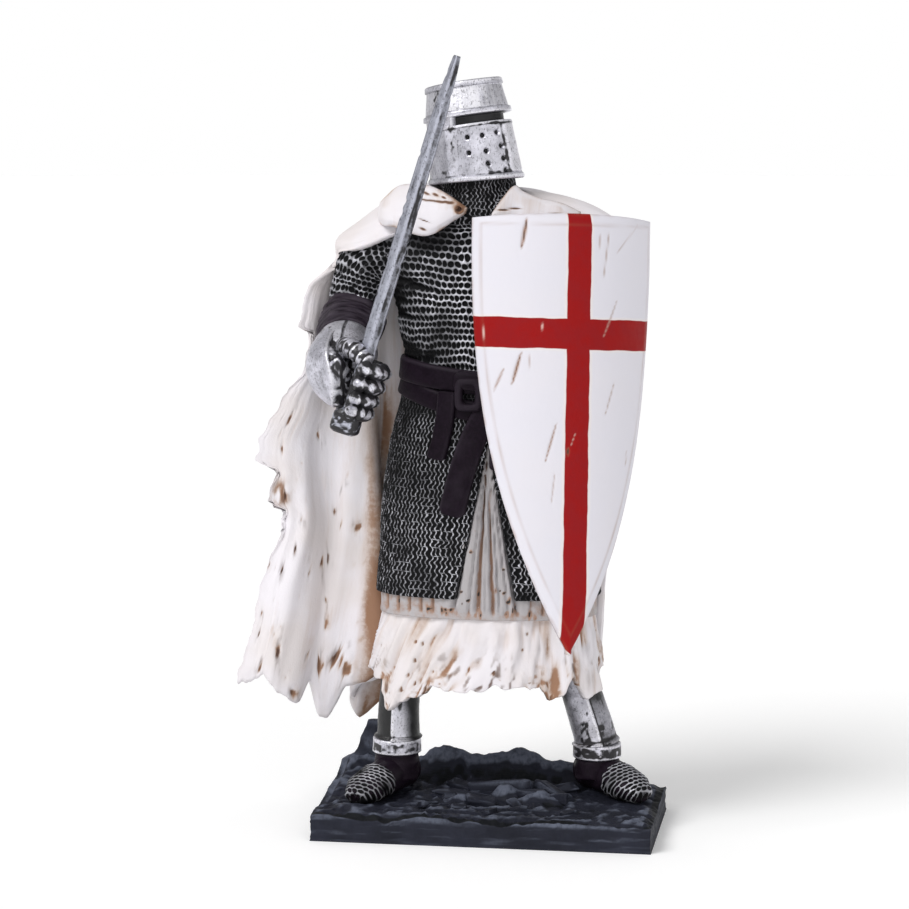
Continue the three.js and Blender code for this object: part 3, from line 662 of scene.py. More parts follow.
class Graph:
    """Short hands for the nodes of a tree."""

    def __init__(self, tree):
        self.tree = tree

    def give(self, socket, value):
        if isinstance(value, Wire):
            self.tree.links.new(value.socket, socket)
        else:
            socket.default_value = value

    def wires(self, sockets):
        return {socket.name: Wire(self, socket) for socket in sockets}

    def made(self, kind, inputs, **values):
        made = self.tree.nodes.new("ShaderNode" + kind)
        for key, value in values.items():
            setattr(made, key, value)
        for key, value in inputs.items():
            self.give(made.inputs[key], value)
        return made

    def node(self, kind, inputs, out=0, **values):
        """One output of a new node."""
        return Wire(self, self.made(kind, inputs, **values).outputs[out])

    def math(self, operation, *values, clamp=False):
        return self.node("Math", dict(enumerate(values)), operation=operation, use_clamp=clamp)

    def stretch(self, vector, *by):
        return self.node("VectorMath", {0: vector, 1: by}, operation="MULTIPLY")

    def ramp(self, value, low, high, to_low=0.0, to_high=1.0):
        inputs = {"Value": value, "From Min": low, "From Max": high, "To Min": to_low, "To Max": to_high}
        return self.node("MapRange", inputs, interpolation_type="SMOOTHSTEP")

    def noise(self, vector, scale, detail=3.0, roughness=0.55):
        return self.node(
            "TexNoise", {"Vector": vector, "Scale": scale, "Detail": detail, "Roughness": roughness}
        )

    def blend(self, factor, a, b):
        """Colour a, going over to colour b."""
        a, b = [colour if isinstance(colour, Wire) else (*colour, 1.0) for colour in (a, b)]
        return self.node("Mix", {0: factor, 6: a, 7: b}, 2, data_type="RGBA")

    def cloudy(self, place, scale, detail, roughness, low, high):
        return self.ramp(self.noise(place, scale, detail, roughness), low, high)

    def mark(self, name, low=None, high=None):
        """One of the marks on the mesh, spread between two values if they are given."""
        value = self.node("Attribute", {}, "Fac", attribute_name=name)
        return value if low is None else self.ramp(value, low, high)

    def surface(self):
        return self.node("Attribute", {}, "Vector", attribute_name="surface")

    def spot(self):
        """Place on the object, in millimetres."""
        return self.stretch(self.node("TexCoord", {}, "Object"), 1 / MM, 1 / MM, 1 / MM)

    def parts(self, vector):
        return list(self.wires(self.made("SeparateXYZ", {0: vector}).outputs).values())

    def group(self, tree, **inputs):
        named = {key.capitalize(): value for key, value in inputs.items()}
        return self.wires(self.made("Group", named, node_tree=tree).outputs)


def effect(name, inputs, outputs, draw):
    """A node group, built once. An input without a default is a vector."""
    tree = bpy.data.node_groups.get(name)
    if not tree:
        tree = bpy.data.node_groups.new(name, "ShaderNodeTree")
        for label, default in inputs.items():
            kind = "NodeSocketVector" if default is None else "NodeSocketFloat"
            socket = tree.interface.new_socket(label, in_out="INPUT", socket_type=kind)
            if default is not None:
                socket.default_value = default
        for label in outputs:
            tree.interface.new_socket(label, in_out="OUTPUT", socket_type="NodeSocketFloat")
        graph = Graph(tree)
        results = draw(graph, graph.wires(tree.nodes.new("NodeGroupInput").outputs))
        out = tree.nodes.new("NodeGroupOutput")
        for label, wire in results.items():
            graph.give(out.inputs[label], wire)
    return tree


def brushed_grain():
    """Fine grain of brushed paint: a height, and a mask of broken patches."""

    def draw(g, given):
        near = g.noise(given["Place"], given["Scale"], 4.0, 0.6)
        streaks = g.noise(g.stretch(given["Place"], 1.0, 1.0, 0.35), given["Scale"] * 2.4, 2.0, 0.5)
        height = near * 0.6 + streaks * 0.4
        return {"Height": height, "Patches": g.ramp(height, 0.4, 0.62)}

    return effect("Brushed grain", {"Place": None, "Scale": 1.0}, ("Height", "Patches"), draw)


def wash_and_shade():
    """Thin dark paint that gathers in recesses and spatters, and painted shade where the marks carry it: a
    mask.
    """

    def draw(g, given):
        cloud = g.noise(given["Place"], given["Scale"], 5.0, 0.65)
        mask = g.ramp(given["Recess"] + (cloud - 0.5) * given["Spread"], 0.3, 0.75)
        specks = g.cloudy(given["Place"], given["Scale"] * 4.0, 2.0, 0.5, 0.66, 0.74)
        return {"Mask": g.math("MAXIMUM", mask, specks * given["Specks"])}

    inputs = {"Place": None, "Scale": 1.0, "Recess": 0.0, "Spread": 1.0, "Specks": 0.0}
    return effect("Gathered wash and shade", inputs, ("Mask",), draw)


def mail_net():
    """Rings of mail over a map in ring cells: round gaps in a net, or draped columns of links."""

    def draw(g, given):
        u, v, _ = g.parts(given["Map"])
        row = g.math("FLOOR", v)
        across = (g.math("FRACT", u + g.math("PINGPONG", row, 1.0) * 0.5) - 0.5) / 0.5
        upward = (v - row - 0.5) / 0.46
        far = g.math("SQRT", across * across + upward * upward)
        net = g.ramp(far, 0.84, 1.03) * g.ramp(abs(upward), 0.5, 1.0, 0.75, 1.0)
        arc = g.math("SINE", v * math.pi)
        off = abs(g.math("FRACT", u + arc * 0.22) - 0.5)
        links = g.ramp(off, 0.06, 0.17, 1.0, 0.0) * g.ramp(abs(arc), 0.0, 0.9, 0.35, 1.0)
        halfway = abs(g.math("FRACT", v * 0.5) - 0.5)
        linked = g.cloudy(g.stretch(given["Map"], 0.6, 0.2, 0.0), 1.0, 2.0, 0.5, 0.48, 0.58)
        links = g.math("MAXIMUM", links, g.ramp(halfway, 0.44, 0.48) * linked)
        return {"Rings": g.node("Mix", {0: given["Draped"], 2: net, 3: links}, data_type="FLOAT")}

    return effect("Mail net", {"Map": None, "Draped": 0.0}, ("Rings",), draw)


class Paint(Graph):
    """A material with one Principled shader at its end."""

    def __init__(self, name, **values):
        self.material = bpy.data.materials.new(name)
        self.material.use_nodes = True
        super().__init__(self.material.node_tree)
        self.tree.nodes.clear()
        self.shader = self.made("BsdfPrincipled", {})
        self.made("OutputMaterial", {0: Wire(self, self.shader.outputs[0])})
        self.coat(**values)

    def coat(self, **values):
        for key, value in values.items():
            self.give(self.shader.inputs[key.replace("_", " ")], value)

    def bump(self, height, strength, distance=0.0002):
        self.coat(Normal=self.node("Bump", {"Height": height, "Strength": strength, "Distance": distance}))

    def brushed(self, scale, smooth, dull, place):
        """Brushed grain that also sets the gloss."""
        grain = self.group(brushed_grain(), place=place, scale=scale)
        self.coat(Roughness=self.ramp(grain["Height"], 0.3, 0.7, smooth, dull))
        return grain


def made_once(draw):
    """A material that is drawn the first time it is asked for."""

    def ask():
        found = bpy.data.materials.get(draw.__name__)
        if not found:
            paint = Paint(draw.__name__)
            draw(paint)
            found = paint.material
        return found

    return ask


@made_once
def cloth_look(g):
    cloth = settings().cloth
    spot, stain_and_shade = g.spot(), g.mark("stain_and_shade")
    streaks = g.noise(g.stretch(g.surface(), 0.55, 0.06, 1.0), 1.0, 4.0, 0.6)
    # The stain mark's tan and brown washes include painted shade inside the cloak; the tone's tear brown
    # darkens pits and tears, and lays painted shade over the surcoat.
    thin = g.ramp(stain_and_shade + (streaks - 0.55) * 0.9, 0.02, 0.75)
    spatter = g.group(wash_and_shade(), place=spot, scale=0.8, recess=stain_and_shade, spread=0.9, specks=0.5)["Mask"]
    base = g.blend(g.cloudy(spot, 0.07, 2.0, 0.5, 0.35, 0.7), cloth.colour, (0.72, 0.67, 0.67))
    base = g.blend(thin * 0.85, base, cloth.tan)
    base = g.blend(spatter * g.ramp(stain_and_shade, 0.25, 0.8), base, cloth.wash)
    g.coat(Base_Color=g.blend(g.mark("tone", 0.0, 0.9), base, cloth.deep_wash))
    g.bump(g.brushed(1.3, 0.5, 0.68, spot)["Height"], 0.35, 0.00025)


@made_once
def quilt_look(g):
    spot = g.spot()
    mask = g.group(wash_and_shade(), place=spot, scale=0.55, recess=g.mark("stain_and_shade"), spread=0.9, specks=0.35)["Mask"]
    base = g.blend(mask * 0.85, settings().leather.quilt, settings().cloth.wash)
    # The tone paints near-black: painted shade in the split's grooves and the band's notches, and the dark of
    # the torn pits.
    g.coat(Base_Color=g.blend(g.mark("tone", 0.25, 0.9), base, (0.02, 0.016, 0.015)))
    g.bump(g.brushed(1.6, 0.5, 0.7, spot)["Height"], 0.4, 0.00025)


@made_once
def mail_look(g):
    mail, surface = settings().mail, g.surface()
    rings = g.group(mail_net(), map=surface, draped=g.parts(surface)[2])["Rings"]
    grain = g.group(brushed_grain(), place=g.spot(), scale=0.55)["Height"]
    brushed = g.ramp(grain + g.mark("tone"), 0.34, 0.56)
    silver = g.math("MULTIPLY", rings * g.mark("wear_and_highlight"), brushed, clamp=True)
    g.coat(Base_Color=g.blend(silver, mail.black, mail.silver), Specular_IOR_Level=0.12)
    g.coat(Metallic=silver * 0.6, Roughness=g.ramp(silver, 0.0, 1.0, 0.6, 0.38))
    g.bump(rings + grain * 0.2, 0.6, 0.00018)


def steel_layers(g, silver, scale):
    spot, wash = g.spot(), settings().steel.wash
    mask = (
        g.group(wash_and_shade(), place=spot, scale=scale, recess=g.mark("stain_and_shade"), spread=0.75, specks=0.55)["Mask"]
    )
    tone = g.mark("tone", 0.3, 0.8)
    base = g.blend(g.cloudy(spot, 0.3, 4.0, 0.6, 0.3, 0.7), silver, [0.62 * c for c in silver])
    # Lighter silver where worn and dry-brushed and as painted highlight; the wash mask and the near-black
    # tone also lay painted shade.
    base = g.blend(g.mark("wear_and_highlight") * 0.7, base, [min(1.0, 1.35 * c) for c in silver])
    specks = g.cloudy(g.stretch(spot, 1.0, 1.0, 0.6), 2.3, 3.0, 0.7, 0.53, 0.66)
    base = g.blend(specks * 0.6, base, [4 * c for c in wash])
    g.coat(Base_Color=g.blend(tone, g.blend(mask, base, wash), (0.006, 0.006, 0.007)))
    g.coat(Metallic=g.ramp(g.math("MAXIMUM", mask, tone), 0.0, 1.0, 0.85, 0.1))
    g.bump(g.brushed(1.5, 0.3, 0.5, spot)["Height"], 0.45)


@made_once
def steel_look(g):
    steel_layers(g, settings().steel.silver, 0.7)


@made_once
def blade_look(g):
    steel_layers(g, settings().steel.blade, 0.9)


@made_once
def leather_look(g):
    spot, colour = g.spot(), settings().leather.colour
    base = g.blend(g.brushed(1.1, 0.36, 0.55, spot)["Patches"], colour, [1.5 * c for c in colour])
    base = g.blend(g.mark("wear_and_highlight") * 0.35, base, (0.09, 0.075, 0.095))
    base = g.blend(g.mark("stain_and_shade", 0.3, 1.0), base, (0.008, 0.007, 0.009))
    g.coat(Base_Color=base, Specular_IOR_Level=0.08)
    g.bump(g.noise(g.stretch(spot, 1.0, 1.0, 3.0), 0.9, 3.0, 0.6), 0.35, 0.0003)


@made_once
def shield_look(g):
    shield, spot, surface = settings().shield, g.spot(), g.surface()
    half, half_bar = shield.upright / MM / 2, shield.bar / MM / 2
    wobble = (g.noise(surface, 0.16, 2.0, 0.5) - 0.5) * 0.7
    x, z, front = g.parts(surface)
    beside = abs(x - 0.75 + wobble)
    below = abs(z + (x + 22.0) * 0.014 + wobble)
    over_tip = g.math("DIVIDE", z + SHIELD_HEIGHT * (1 - SHIELD_ABOVE), 3.8, clamp=True)
    upright = g.ramp(beside - (g.math("SQRT", over_tip) * half - 0.13), -0.12, 0.12, 1.0, 0.0)
    bar = g.ramp(below, half_bar - 0.12, half_bar + 0.12, 1.0, 0.0)
    cross = g.math("MAXIMUM", upright, bar) * g.math("GREATER_THAN", front, 0.5)
    fringe = g.math("MINIMUM", beside - half, below - half_bar)
    white = g.blend(g.cloudy(spot, 0.06, 3.0, 0.6, 0.35, 0.7), shield.white, (0.71, 0.69, 0.74))
    white = g.blend(g.ramp(fringe, 0.0, 0.8, 0.45, 0.0) * front, white, (0.84, 0.74, 0.66))
    red = g.blend(g.cloudy(spot, 0.25, 3.0, 0.6, 0.35, 0.65), shield.red, (0.27, 0.004, 0.006))
    base = g.blend(cross, white, red)
    base = g.blend(g.mark("wear_and_highlight") * cross, base, (0.72, 0.5, 0.45))
    base = g.blend(g.mark("stain_and_shade") * (1.0 - cross * 0.5), base, settings().cloth.wash)
    base = g.blend(g.mark("tone", 0.3, 0.9), base, (0.05, 0.035, 0.03))
    g.coat(Base_Color=base, Specular_IOR_Level=0.16)
    g.bump(g.brushed(0.9, 0.42, 0.58, spot)["Height"], 0.25)


@made_once
def slate_look(g):
    spot, slate = g.spot(), settings().plinth.slate
    grain = g.brushed(0.7, 0.5, 0.75, spot)["Height"]
    base = g.blend(g.cloudy(spot, 0.12, 4.0, 0.6, 0.3, 0.7), slate, [0.6 * c for c in slate])
    high = g.mark("wear_and_highlight", 0.3, 0.95) * g.ramp(grain, 0.3, 0.6, 0.35, 1.0)
    base = g.blend(high, base, settings().plinth.highlight)
    base = g.blend(g.mark("stain_and_shade", 0.2, 1.0), base, (0.006, 0.007, 0.009))
    g.coat(Base_Color=base, Specular_IOR_Level=0.14)
    g.bump(grain * 0.5 + g.noise(g.stretch(spot, 0.25, 0.25, 2.5), 1.0, 4.0, 0.6), 0.5, 0.0003)


LOOKS = {
    "cloth_paint": cloth_look,
    "quilt_paint": quilt_look,
    "mail_paint": mail_look,
    "steel_paint": steel_look,
    "leather_paint": leather_look,
    "shield_paint": shield_look,
    "slate_paint": slate_look,
}


# Mail


def ring_relief(u, v, draped):
    """Height of the mail, 0 in a gap and 1 on a ring, over a map in ring cells."""
    row = np.floor(v)
    shifted = u + 0.5 * (row % 2)
    across = (shifted - np.floor(shifted) - 0.5) / 0.5
    upward = (v - row - 0.5) / 0.46
    net = ease(np.hypot(across, upward), 0.62, 1.08)
    off = np.abs((u + 0.22 * np.sin(v * math.pi)) % 1 - 0.5)
    return mix(net, 1 - ease(off, 0.06, 0.3), draped)


def mail_map(points, u, v, draped):
    """The hand-made unevenness of the rings, their relief and their map."""
    u = u + 0.2 * noise(points, 5.0, 3) + (0.26 + 0.14 * draped) * noise(points, 1.8, 6)
    v = (
        v + 0.16 * noise(points, 6.0, 4) + 0.5 * (1 - draped) * noise(points, 14.0, 5)
        + 0.24 * noise(points, 2.2, 7)
    )
    return ring_relief(u, v, draped), flat(u, v, draped)


def coat(name, low, high, draped, pitch, row, deep, paint):
    """Part of the mail coat between two heights, split at the front below the split's top."""
    heights = np.linspace(low, high, 600)
    profile = run_of(np.stack([along(TRUNK, heights, 2), heights], -1))
    runs = np.linspace(0, profile[-1], int(profile[-1] / MAIL_STEP))
    z = np.interp(runs, profile, heights)[:, None]
    base = angles_round(MAIL_STEP, 100.0)[None]
    slope = clamp((z - MAIL_HEM + 2) / (SPLIT_TOP[1] - MAIL_HEM + 2))
    start = np.where(z < SPLIT_TOP[1], trunk_angle(mix(SPLIT_RIGHT, SPLIT_TOP[0], slope), z), 0)
    end = 2 * math.pi + np.where(z < SPLIT_TOP[1], trunk_angle(mix(SPLIT_LEFT, SPLIT_TOP[0], slope), z), 0)
    angle = mix(start, end, base / (2 * math.pi))
    girth = 2 * FINE_RUN[-1] * along(TRUNK, (low + high) / 2, 2) / along(TRUNK, 90.0, 2)
    points = trunk_point(angle, z)
    relief, surface = mail_map(
        points, round_share(angle) * round(girth / pitch), (runs / row)[:, None] + 0 * angle, draped
    )
    bright, tone, sunk = paint(points, round_share(angle), z)
    lift = deep * (relief - 1) + 0.45 * noise(points, 9.0, 11) * ease(z, low, low + 6) - sunk
    outer = trunk_point(angle, z, lift)
    inner = trunk_point(mix(start, end, np.linspace(1, 0, 26)[None]), z, -2.6)
    blank = np.zeros(inner.shape[:2])
    marks = {
        "wear_and_highlight": np.concatenate([clamp(bright), blank], 1),
        "tone": np.concatenate([tone + 0 * points[..., 0], blank], 1),
    }
    surface = np.concatenate([surface, np.zeros(inner.shape)], 1)
    Shells().stack(np.concatenate([outer, inner], 1), marks, surface).build(name, "mail_paint")


def skirt_paint(points, turn, z):
    """How bright the rings of the skirt are, how thickly brushed, and how far the mail sinks."""
    x = points[..., 0]
    bright = (
        0.62 + 0.5 * noise(points, 6.0, 21) + 0.35 * noise(points, 1.6, 25)
        + 0.8 * blob(x, z, -2, 86, 3, 4.5)
    )
    # Painted shade: the rings darken just under the belt, in mottled patches.
    under_belt = ease(z, 99, 91) - 0.35 * mottled(points, 11.0, 22, 0.1, 0.8)
    tone = 0.05 - 0.14 * ease(np.abs((turn + 0.5) % 1 - 0.5), 0.12, 0.24)
    return (
        bright * np.clip(under_belt, 0.2, 1), tone,
        0.2 * crease(noise(points * (1, 1, 0.35), 8.0, 23), 0.12)
    )


def chest_paint(points, turn, z):
    x = points[..., 0]
    # Painted highlight towards the middle of the chest and painted shade towards the right arm, over random
    # brushing.
    bright = (
        0.62 + 0.8 * noise(points, 7.0, 24) + 0.4 * noise(points, 1.8, 26) + 0.3 * ease(x, -14, -2)
        - 0.3 * ease(x, -10, -20)
    )
    from_armpit = z - mix(127.0, 124.0, (x + 22.8) / 10.3)
    fold = blob(from_armpit, x, 0, -17, 0.9, 6.5) + blob(from_armpit, x, -8.5, -21, 0.9, 3.5)
    shade_of_cape = ease(z, 131.5, 136) * ease(x, -6, -12)
    return (
        (bright - 0.8 * fold) * (1 - 0.8 * shade_of_cape), 0.04,
        0.8 * fold - 1.1 * blob(z, 0, 112, 0, 4.5, 1)
    )


def mailed_limb(shells, limb, pitch, row, deep, draped=0.0, tone=0.0, bright=0.65):
    angle, run = limb.grid()
    points = limb.rings()
    count = round(2 * math.pi * float(np.mean(limb.width)) / pitch)
    relief, surface = mail_map(points, angle / (2 * math.pi) * count, run / row, draped)
    creases = 0.45 * noise(points, 6.0, 17) - 0.5 * crease(noise(points * (0.6, 0.6, 1.4), 7.0, 18), 0.14)
    wear_and_highlight = clamp(bright + 0.7 * noise(points, 5.0, 21) + 0.4 * noise(points, 1.8, 27))
    shells.stack(limb.rings(deep * (relief - 1) + creases), {"wear_and_highlight": wear_and_highlight, "tone": tone}, surface)
    return shells


class KNIGHT_OT_mail(bpy.types.Operator):
    """Sculpts the mail coat, its sleeves and the coif under the helm"""

    bl_idname = "knight.mail"
    bl_label = "Mail"

    def execute(self, context):
        mail = settings().mail
        deep, chest, skirt = mail.relief / MM, mail.chest_pitch / MM, mail.skirt_pitch / MM
        coat("mail_skirt", MAIL_HEM, WAIST, 1.0, skirt, 1.02, deep * 0.6, skirt_paint)
        coat("mail_chest", WAIST, 147, 0.0, chest, 1.78, deep, chest_paint)
        for name, stations, rows, around in (
            ("right_sleeve", RIGHT_ARM, 140, 156),
            ("left_sleeve", LEFT_ARM, 90, 100),
        ):
            limb = Limb(stations, rows, around)
            mailed_limb(Shells(), limb, 1.3, 1.62, deep).build(name, "mail_paint")
        coif = Limb([[-3.8, 4.6, 141, 11], [-3.9, 4.2, 148, 9.2], [-4.4, 3.6, 153, 8.6]], 50, 160, (0, 1, 0))
        mailed_limb(Shells(), coif, 1.1, 0.9, deep * 0.5, 1.0, 0.02, 0.75).build("coif", "mail_paint")
        return {"FINISHED"}


# Cloth


def pits(x, y, spots):
    """Depth from 0 to 1 of small torn pits [x, y, half width, half height]."""
    total = np.zeros(np.broadcast(x, y).shape)
    for cx, cy, rx, ry in spots:
        near = (np.abs(x - cx) < 3 * rx) & (np.abs(y - cy) < 3 * ry)
        total[near] = np.maximum(total[near], blob(x[near], y[near], cx, cy, rx, ry))
    return total


def scattered(count, seed, low, high, sizes):
    """Seeded spots between two corners, most of them near the second one's y."""
    draw = np.random.default_rng(seed)
    x = draw.uniform(low[0], high[0], count)
    y = mix(low[1], high[1], np.sqrt(draw.uniform(0, 1, count)))
    wide = draw.uniform(sizes[0], sizes[1], count)
    return np.stack([x, y, wide, wide * draw.uniform(1.2, 4.0, count)], -1)


# Torn holes as shares across and down the cloak, half width and half height in millimetres
CLOAK_TEARS = [
    (0.141, 0.527, 1.6, 0.9), (0.174, 0.673, 0.45, 0.45), (0.079, 0.68, 0.7, 0.9),
    (0.046, 0.798, 0.7, 1.6), (0.155, 0.833, 0.7, 1.8), (0.174, 0.91, 1.0, 1.2), (0.151, 0.92, 0.9, 2.4),
    (0.058, 0.507, 0.6, 1.6), (0.058, 0.566, 0.6, 1.2), (0.049, 0.656, 0.8, 0.8), (0.014, 0.868, 0.5, 1.0),
    (0.069, 0.934, 1.0, 2.2), (0.181, 0.618, 0.7, 0.5), (0.167, 0.635, 0.5, 0.5), (0.039, 0.972, 0.7, 1.6),
    (0.102, 0.99, 0.8, 1.6),
]


def cloak():
    cloth = settings().cloth
    fold, tatter = cloth.fold / MM, cloth.tatter / MM
    s, t = even(260)[None] ** 1.4, even(120)[:, None]
    across, down = s * CLOAK_ROUND + 0 * t, t * CLOAK_DOWN + 0 * s
    torn = tatter * (0.8 * noise(flat(s * 190, 0), 2.6, 5) + 0.7 * noise(flat(s * 190, 9), 1.1, 6))
    points = cloak_point(s, t, torn)
    from_edge = run_of(points, 1)
    jagged = noise(flat(down, 3), 2.2, 34) + 0.6 * noise(flat(down, 7), 0.9, 35)
    points[..., 0] -= 0.7 * jagged * np.exp(-from_edge / 2.5) * ease(t, 0.1, 0.3)
    fall = ease(t, YOKE, 1)
    slant = across + 0.12 * down + 2.0 * noise(flat(across, down), 22.0, 31)
    wide_folds = noise(flat(slant, down * 0.06), 9.0, 32)
    fine_folds = noise(flat(slant, down * 0.1), 3.2, 33)
    fibres = noise(flat(slant, down * 0.1), 1.1, 36) * mottled(flat(across, down), 13.0, 37, -0.3, 0.5)
    relief = 1.6 * wide_folds + 0.9 * fine_folds + 0.25 * fibres
    spots = [(s0 * CLOAK_ROUND, t0 * CLOAK_DOWN, wide, high) for s0, t0, wide, high in CLOAK_TEARS]
    strewn = scattered(90, 8, (0, 60), (CLOAK_ROUND, CLOAK_DOWN - 2), (0.25, 0.6))
    halo = pits(across, down, [(a, d, 2.4 * wide, 2.2 * high) for a, d, wide, high in [*spots, *strewn]])
    torn_in = np.maximum(pits(across, down, spots), 0.8 * pits(across, down, strewn))
    torn_in = ease(torn_in + 0.75 * noise(flat(across, down * 0.6), 0.8, 38), 0.45, 0.95)
    fallen = run_of(points)
    edge = np.minimum(from_edge, fallen[-1:] - fallen)
    out = normals(points)
    half = CLOAK_THICKNESS / 2 * mix(0.55, 1.0, ease(edge, 0.0, 4.0))
    lift = fold * mix(0.25, 1.3, fall) * relief
    front = points + out * (half + lift - 0.6 * torn_in)[..., None]
    back = points - out * (half - lift - 0.6 * torn_in)[..., None]
    patchy = mottled(points, 9.0, 41, -0.2, 0.5)
    fine_patchy = mottled(points, 3.2, 42, -0.3, 0.6)
    x, z = points[..., 0], points[..., 2]
    valley = ease(-relief, 0.2, 1.2) * mix(0.3, 1, fall)
    hem = ease(-edge, -3.2, 0.3)
    beside_skirt = crease(x + 29.2, 4.0) * ease(z, 20, 40) * (1 - ease(z, 95, 115))
    behind_arm = ease(z, 98, 106) * (1 - ease(z, 124, 132)) * crease(x + 19.5, 6.0)
    crust = blob(x, z, -52.8, 80.5, 2.4, 3.6) * mottled(points, 1.2, 43, -0.5, 0.3)
    stain_and_shade = (
        0.28 * valley * mix(0.4, 1, patchy)
        + 0.3 * ease(fibres, 0.15, 0.7) * patchy
        + 0.42 * hem * fine_patchy * patchy
        + 0.34 * mottled(flat(slant, down * 0.07), 5.0, 44, 0.0, 0.7) * fall
        + 0.9 * crust
        + 0.4 * halo * fine_patchy
        + 0.85 * torn_in
    )
    # Painted shade with brown wash on the cloak's inner face, beside the skirt, behind the arm and beside the
    # leg.
    beside_leg = crease(x + 33, 5.0) * (1 - ease(z, 26, 38))
    inside = (
        (0.85 * beside_skirt + behind_arm + 0.8 * beside_leg)
        * (0.55 + 0.45 * ease(fine_folds + 0.6 * fibres, -0.4, 0.7))
    )
    cracks = halo * mottled(flat(across, down * 0.22), 0.6, 39, 0.0, 0.45)
    tone = 0.42 * ease(torn_in, 0.6, 1.0) + 0.4 * crust + 0.5 * cracks
    marks = {"stain_and_shade": (clamp(stain_and_shade), clamp(stain_and_shade + inside)), "tone": tone}
    shells = Shells().slab(front, back, marks, flat(slant, down))
    shells.build("cloak", "cloth_paint")


# The flap that the clasp holds, seen from the front: its upper and its lower edge
LEFT_FLAP_TOP = [
    [-27.4, 1, 145], [-25.4, -2, 146.6], [-22.5, -2, 149], [-19, -3, 149.5], [-14.3, -5, 149.1],
    [-10.4, -7, 147.6], [-7.1, -8, 145.6], [-4.9, -8.5, 144.2],
]
LEFT_FLAP_LOW = [
    [-27.4, 0, 139.8], [-24.7, -6, 139.6], [-22.6, -7, 139.5], [-20.5, -8, 138.6], [-18.1, -8.5, 138],
    [-15.3, -9, 137.5], [-12.9, -9.2, 138], [-10.8, -9.2, 139.2], [-8.4, -9, 140.9], [-5.2, -8.8, 142.9],
]
CLASP = (-6.6, 143.9, 0.75)  # x, height and radius of its eyelet


def hood():
    degrees = np.linspace(-164, 148, 190)[:, None]
    angle = np.radians(degrees)
    full = ease(np.minimum(164 + degrees, 148 - degrees), 0, 75)
    back, low = np.maximum(0, np.cos(angle)), np.maximum(0, np.sin(angle))
    reach = mix(10.6, 16.8 - 2.4 * back - 3.2 * low, full)
    thick, high = mix(1.3, 5.2, full), mix(1.3, 2.7 + back, full)
    turn = full_turn(64)[None]
    x, y = AXIS_X + reach * np.sin(angle), AXIS_Y - 0.5 + (reach - 1) * np.cos(angle)
    z = mix(143.2, 145.6 + 1.6 * back - 4.4 * low, full)
    around = flat(degrees * 0.3, np.degrees(turn) * 0.1)
    creases = 0.45 * rough(around, 4.0, 51) * full - 0.5 * crease(noise(around * (1, 0.5, 1), 6.0, 52)) * full
    points = place(
        x + np.sin(angle) * np.cos(turn) * (thick + creases),
        y + np.cos(angle) * np.cos(turn) * (thick + creases),
        z + np.sin(turn) * (high + creases) - np.cos(turn) * 1.6 * full,
    )
    stain_and_shade = 0.5 * ease(-creases, 0.1, 0.5)
    shells = Shells()
    shells.stack(points, {"stain_and_shade": stain_and_shade}, flat(degrees * 0.3, np.degrees(turn) * 0.15))
    flap(shells, LEFT_FLAP_TOP, LEFT_FLAP_LOW, np.linspace(1.6, 0.5, 100)[None], WORN_LEFT, True)
    flap(shells, RIGHT_FLAP_TOP, RIGHT_FLAP_LOW, 0.8, WORN_RIGHT, False)
    shells.build("hood", "cloth_paint")


# The shorter flap behind the shield
RIGHT_FLAP_TOP = [
    [1.2, -9.4, 143.2], [3.5, -7, 146.8], [5.8, -3, 149.3], [7.5, -3, 148], [12, -2.5, 146.2],
    [16.5, -2, 145.2], [21, 0, 143]
]
RIGHT_FLAP_LOW = [
    [1.4, -9.6, 141.6], [5, -9, 140.5], [9, -9, 140], [13, -8.5, 140], [17, -7, 140], [21, -4, 140]
]
WORN_LEFT = [
    (-15, 147.5, 0.9, 0.25), (-12.6, 147.2, 0.7, 0.25), (-10.5, 146.6, 0.5, 0.2), (-15.3, 139.2, 0.9, 0.3),
    (-15, 141.2, 1.4, 0.15)
]
WORN_RIGHT = [(3.8, 144.4, 1.2, 0.14), (6.6, 144.8, 1.3, 0.16), (15.8, 143.8, 1.4, 0.22)]


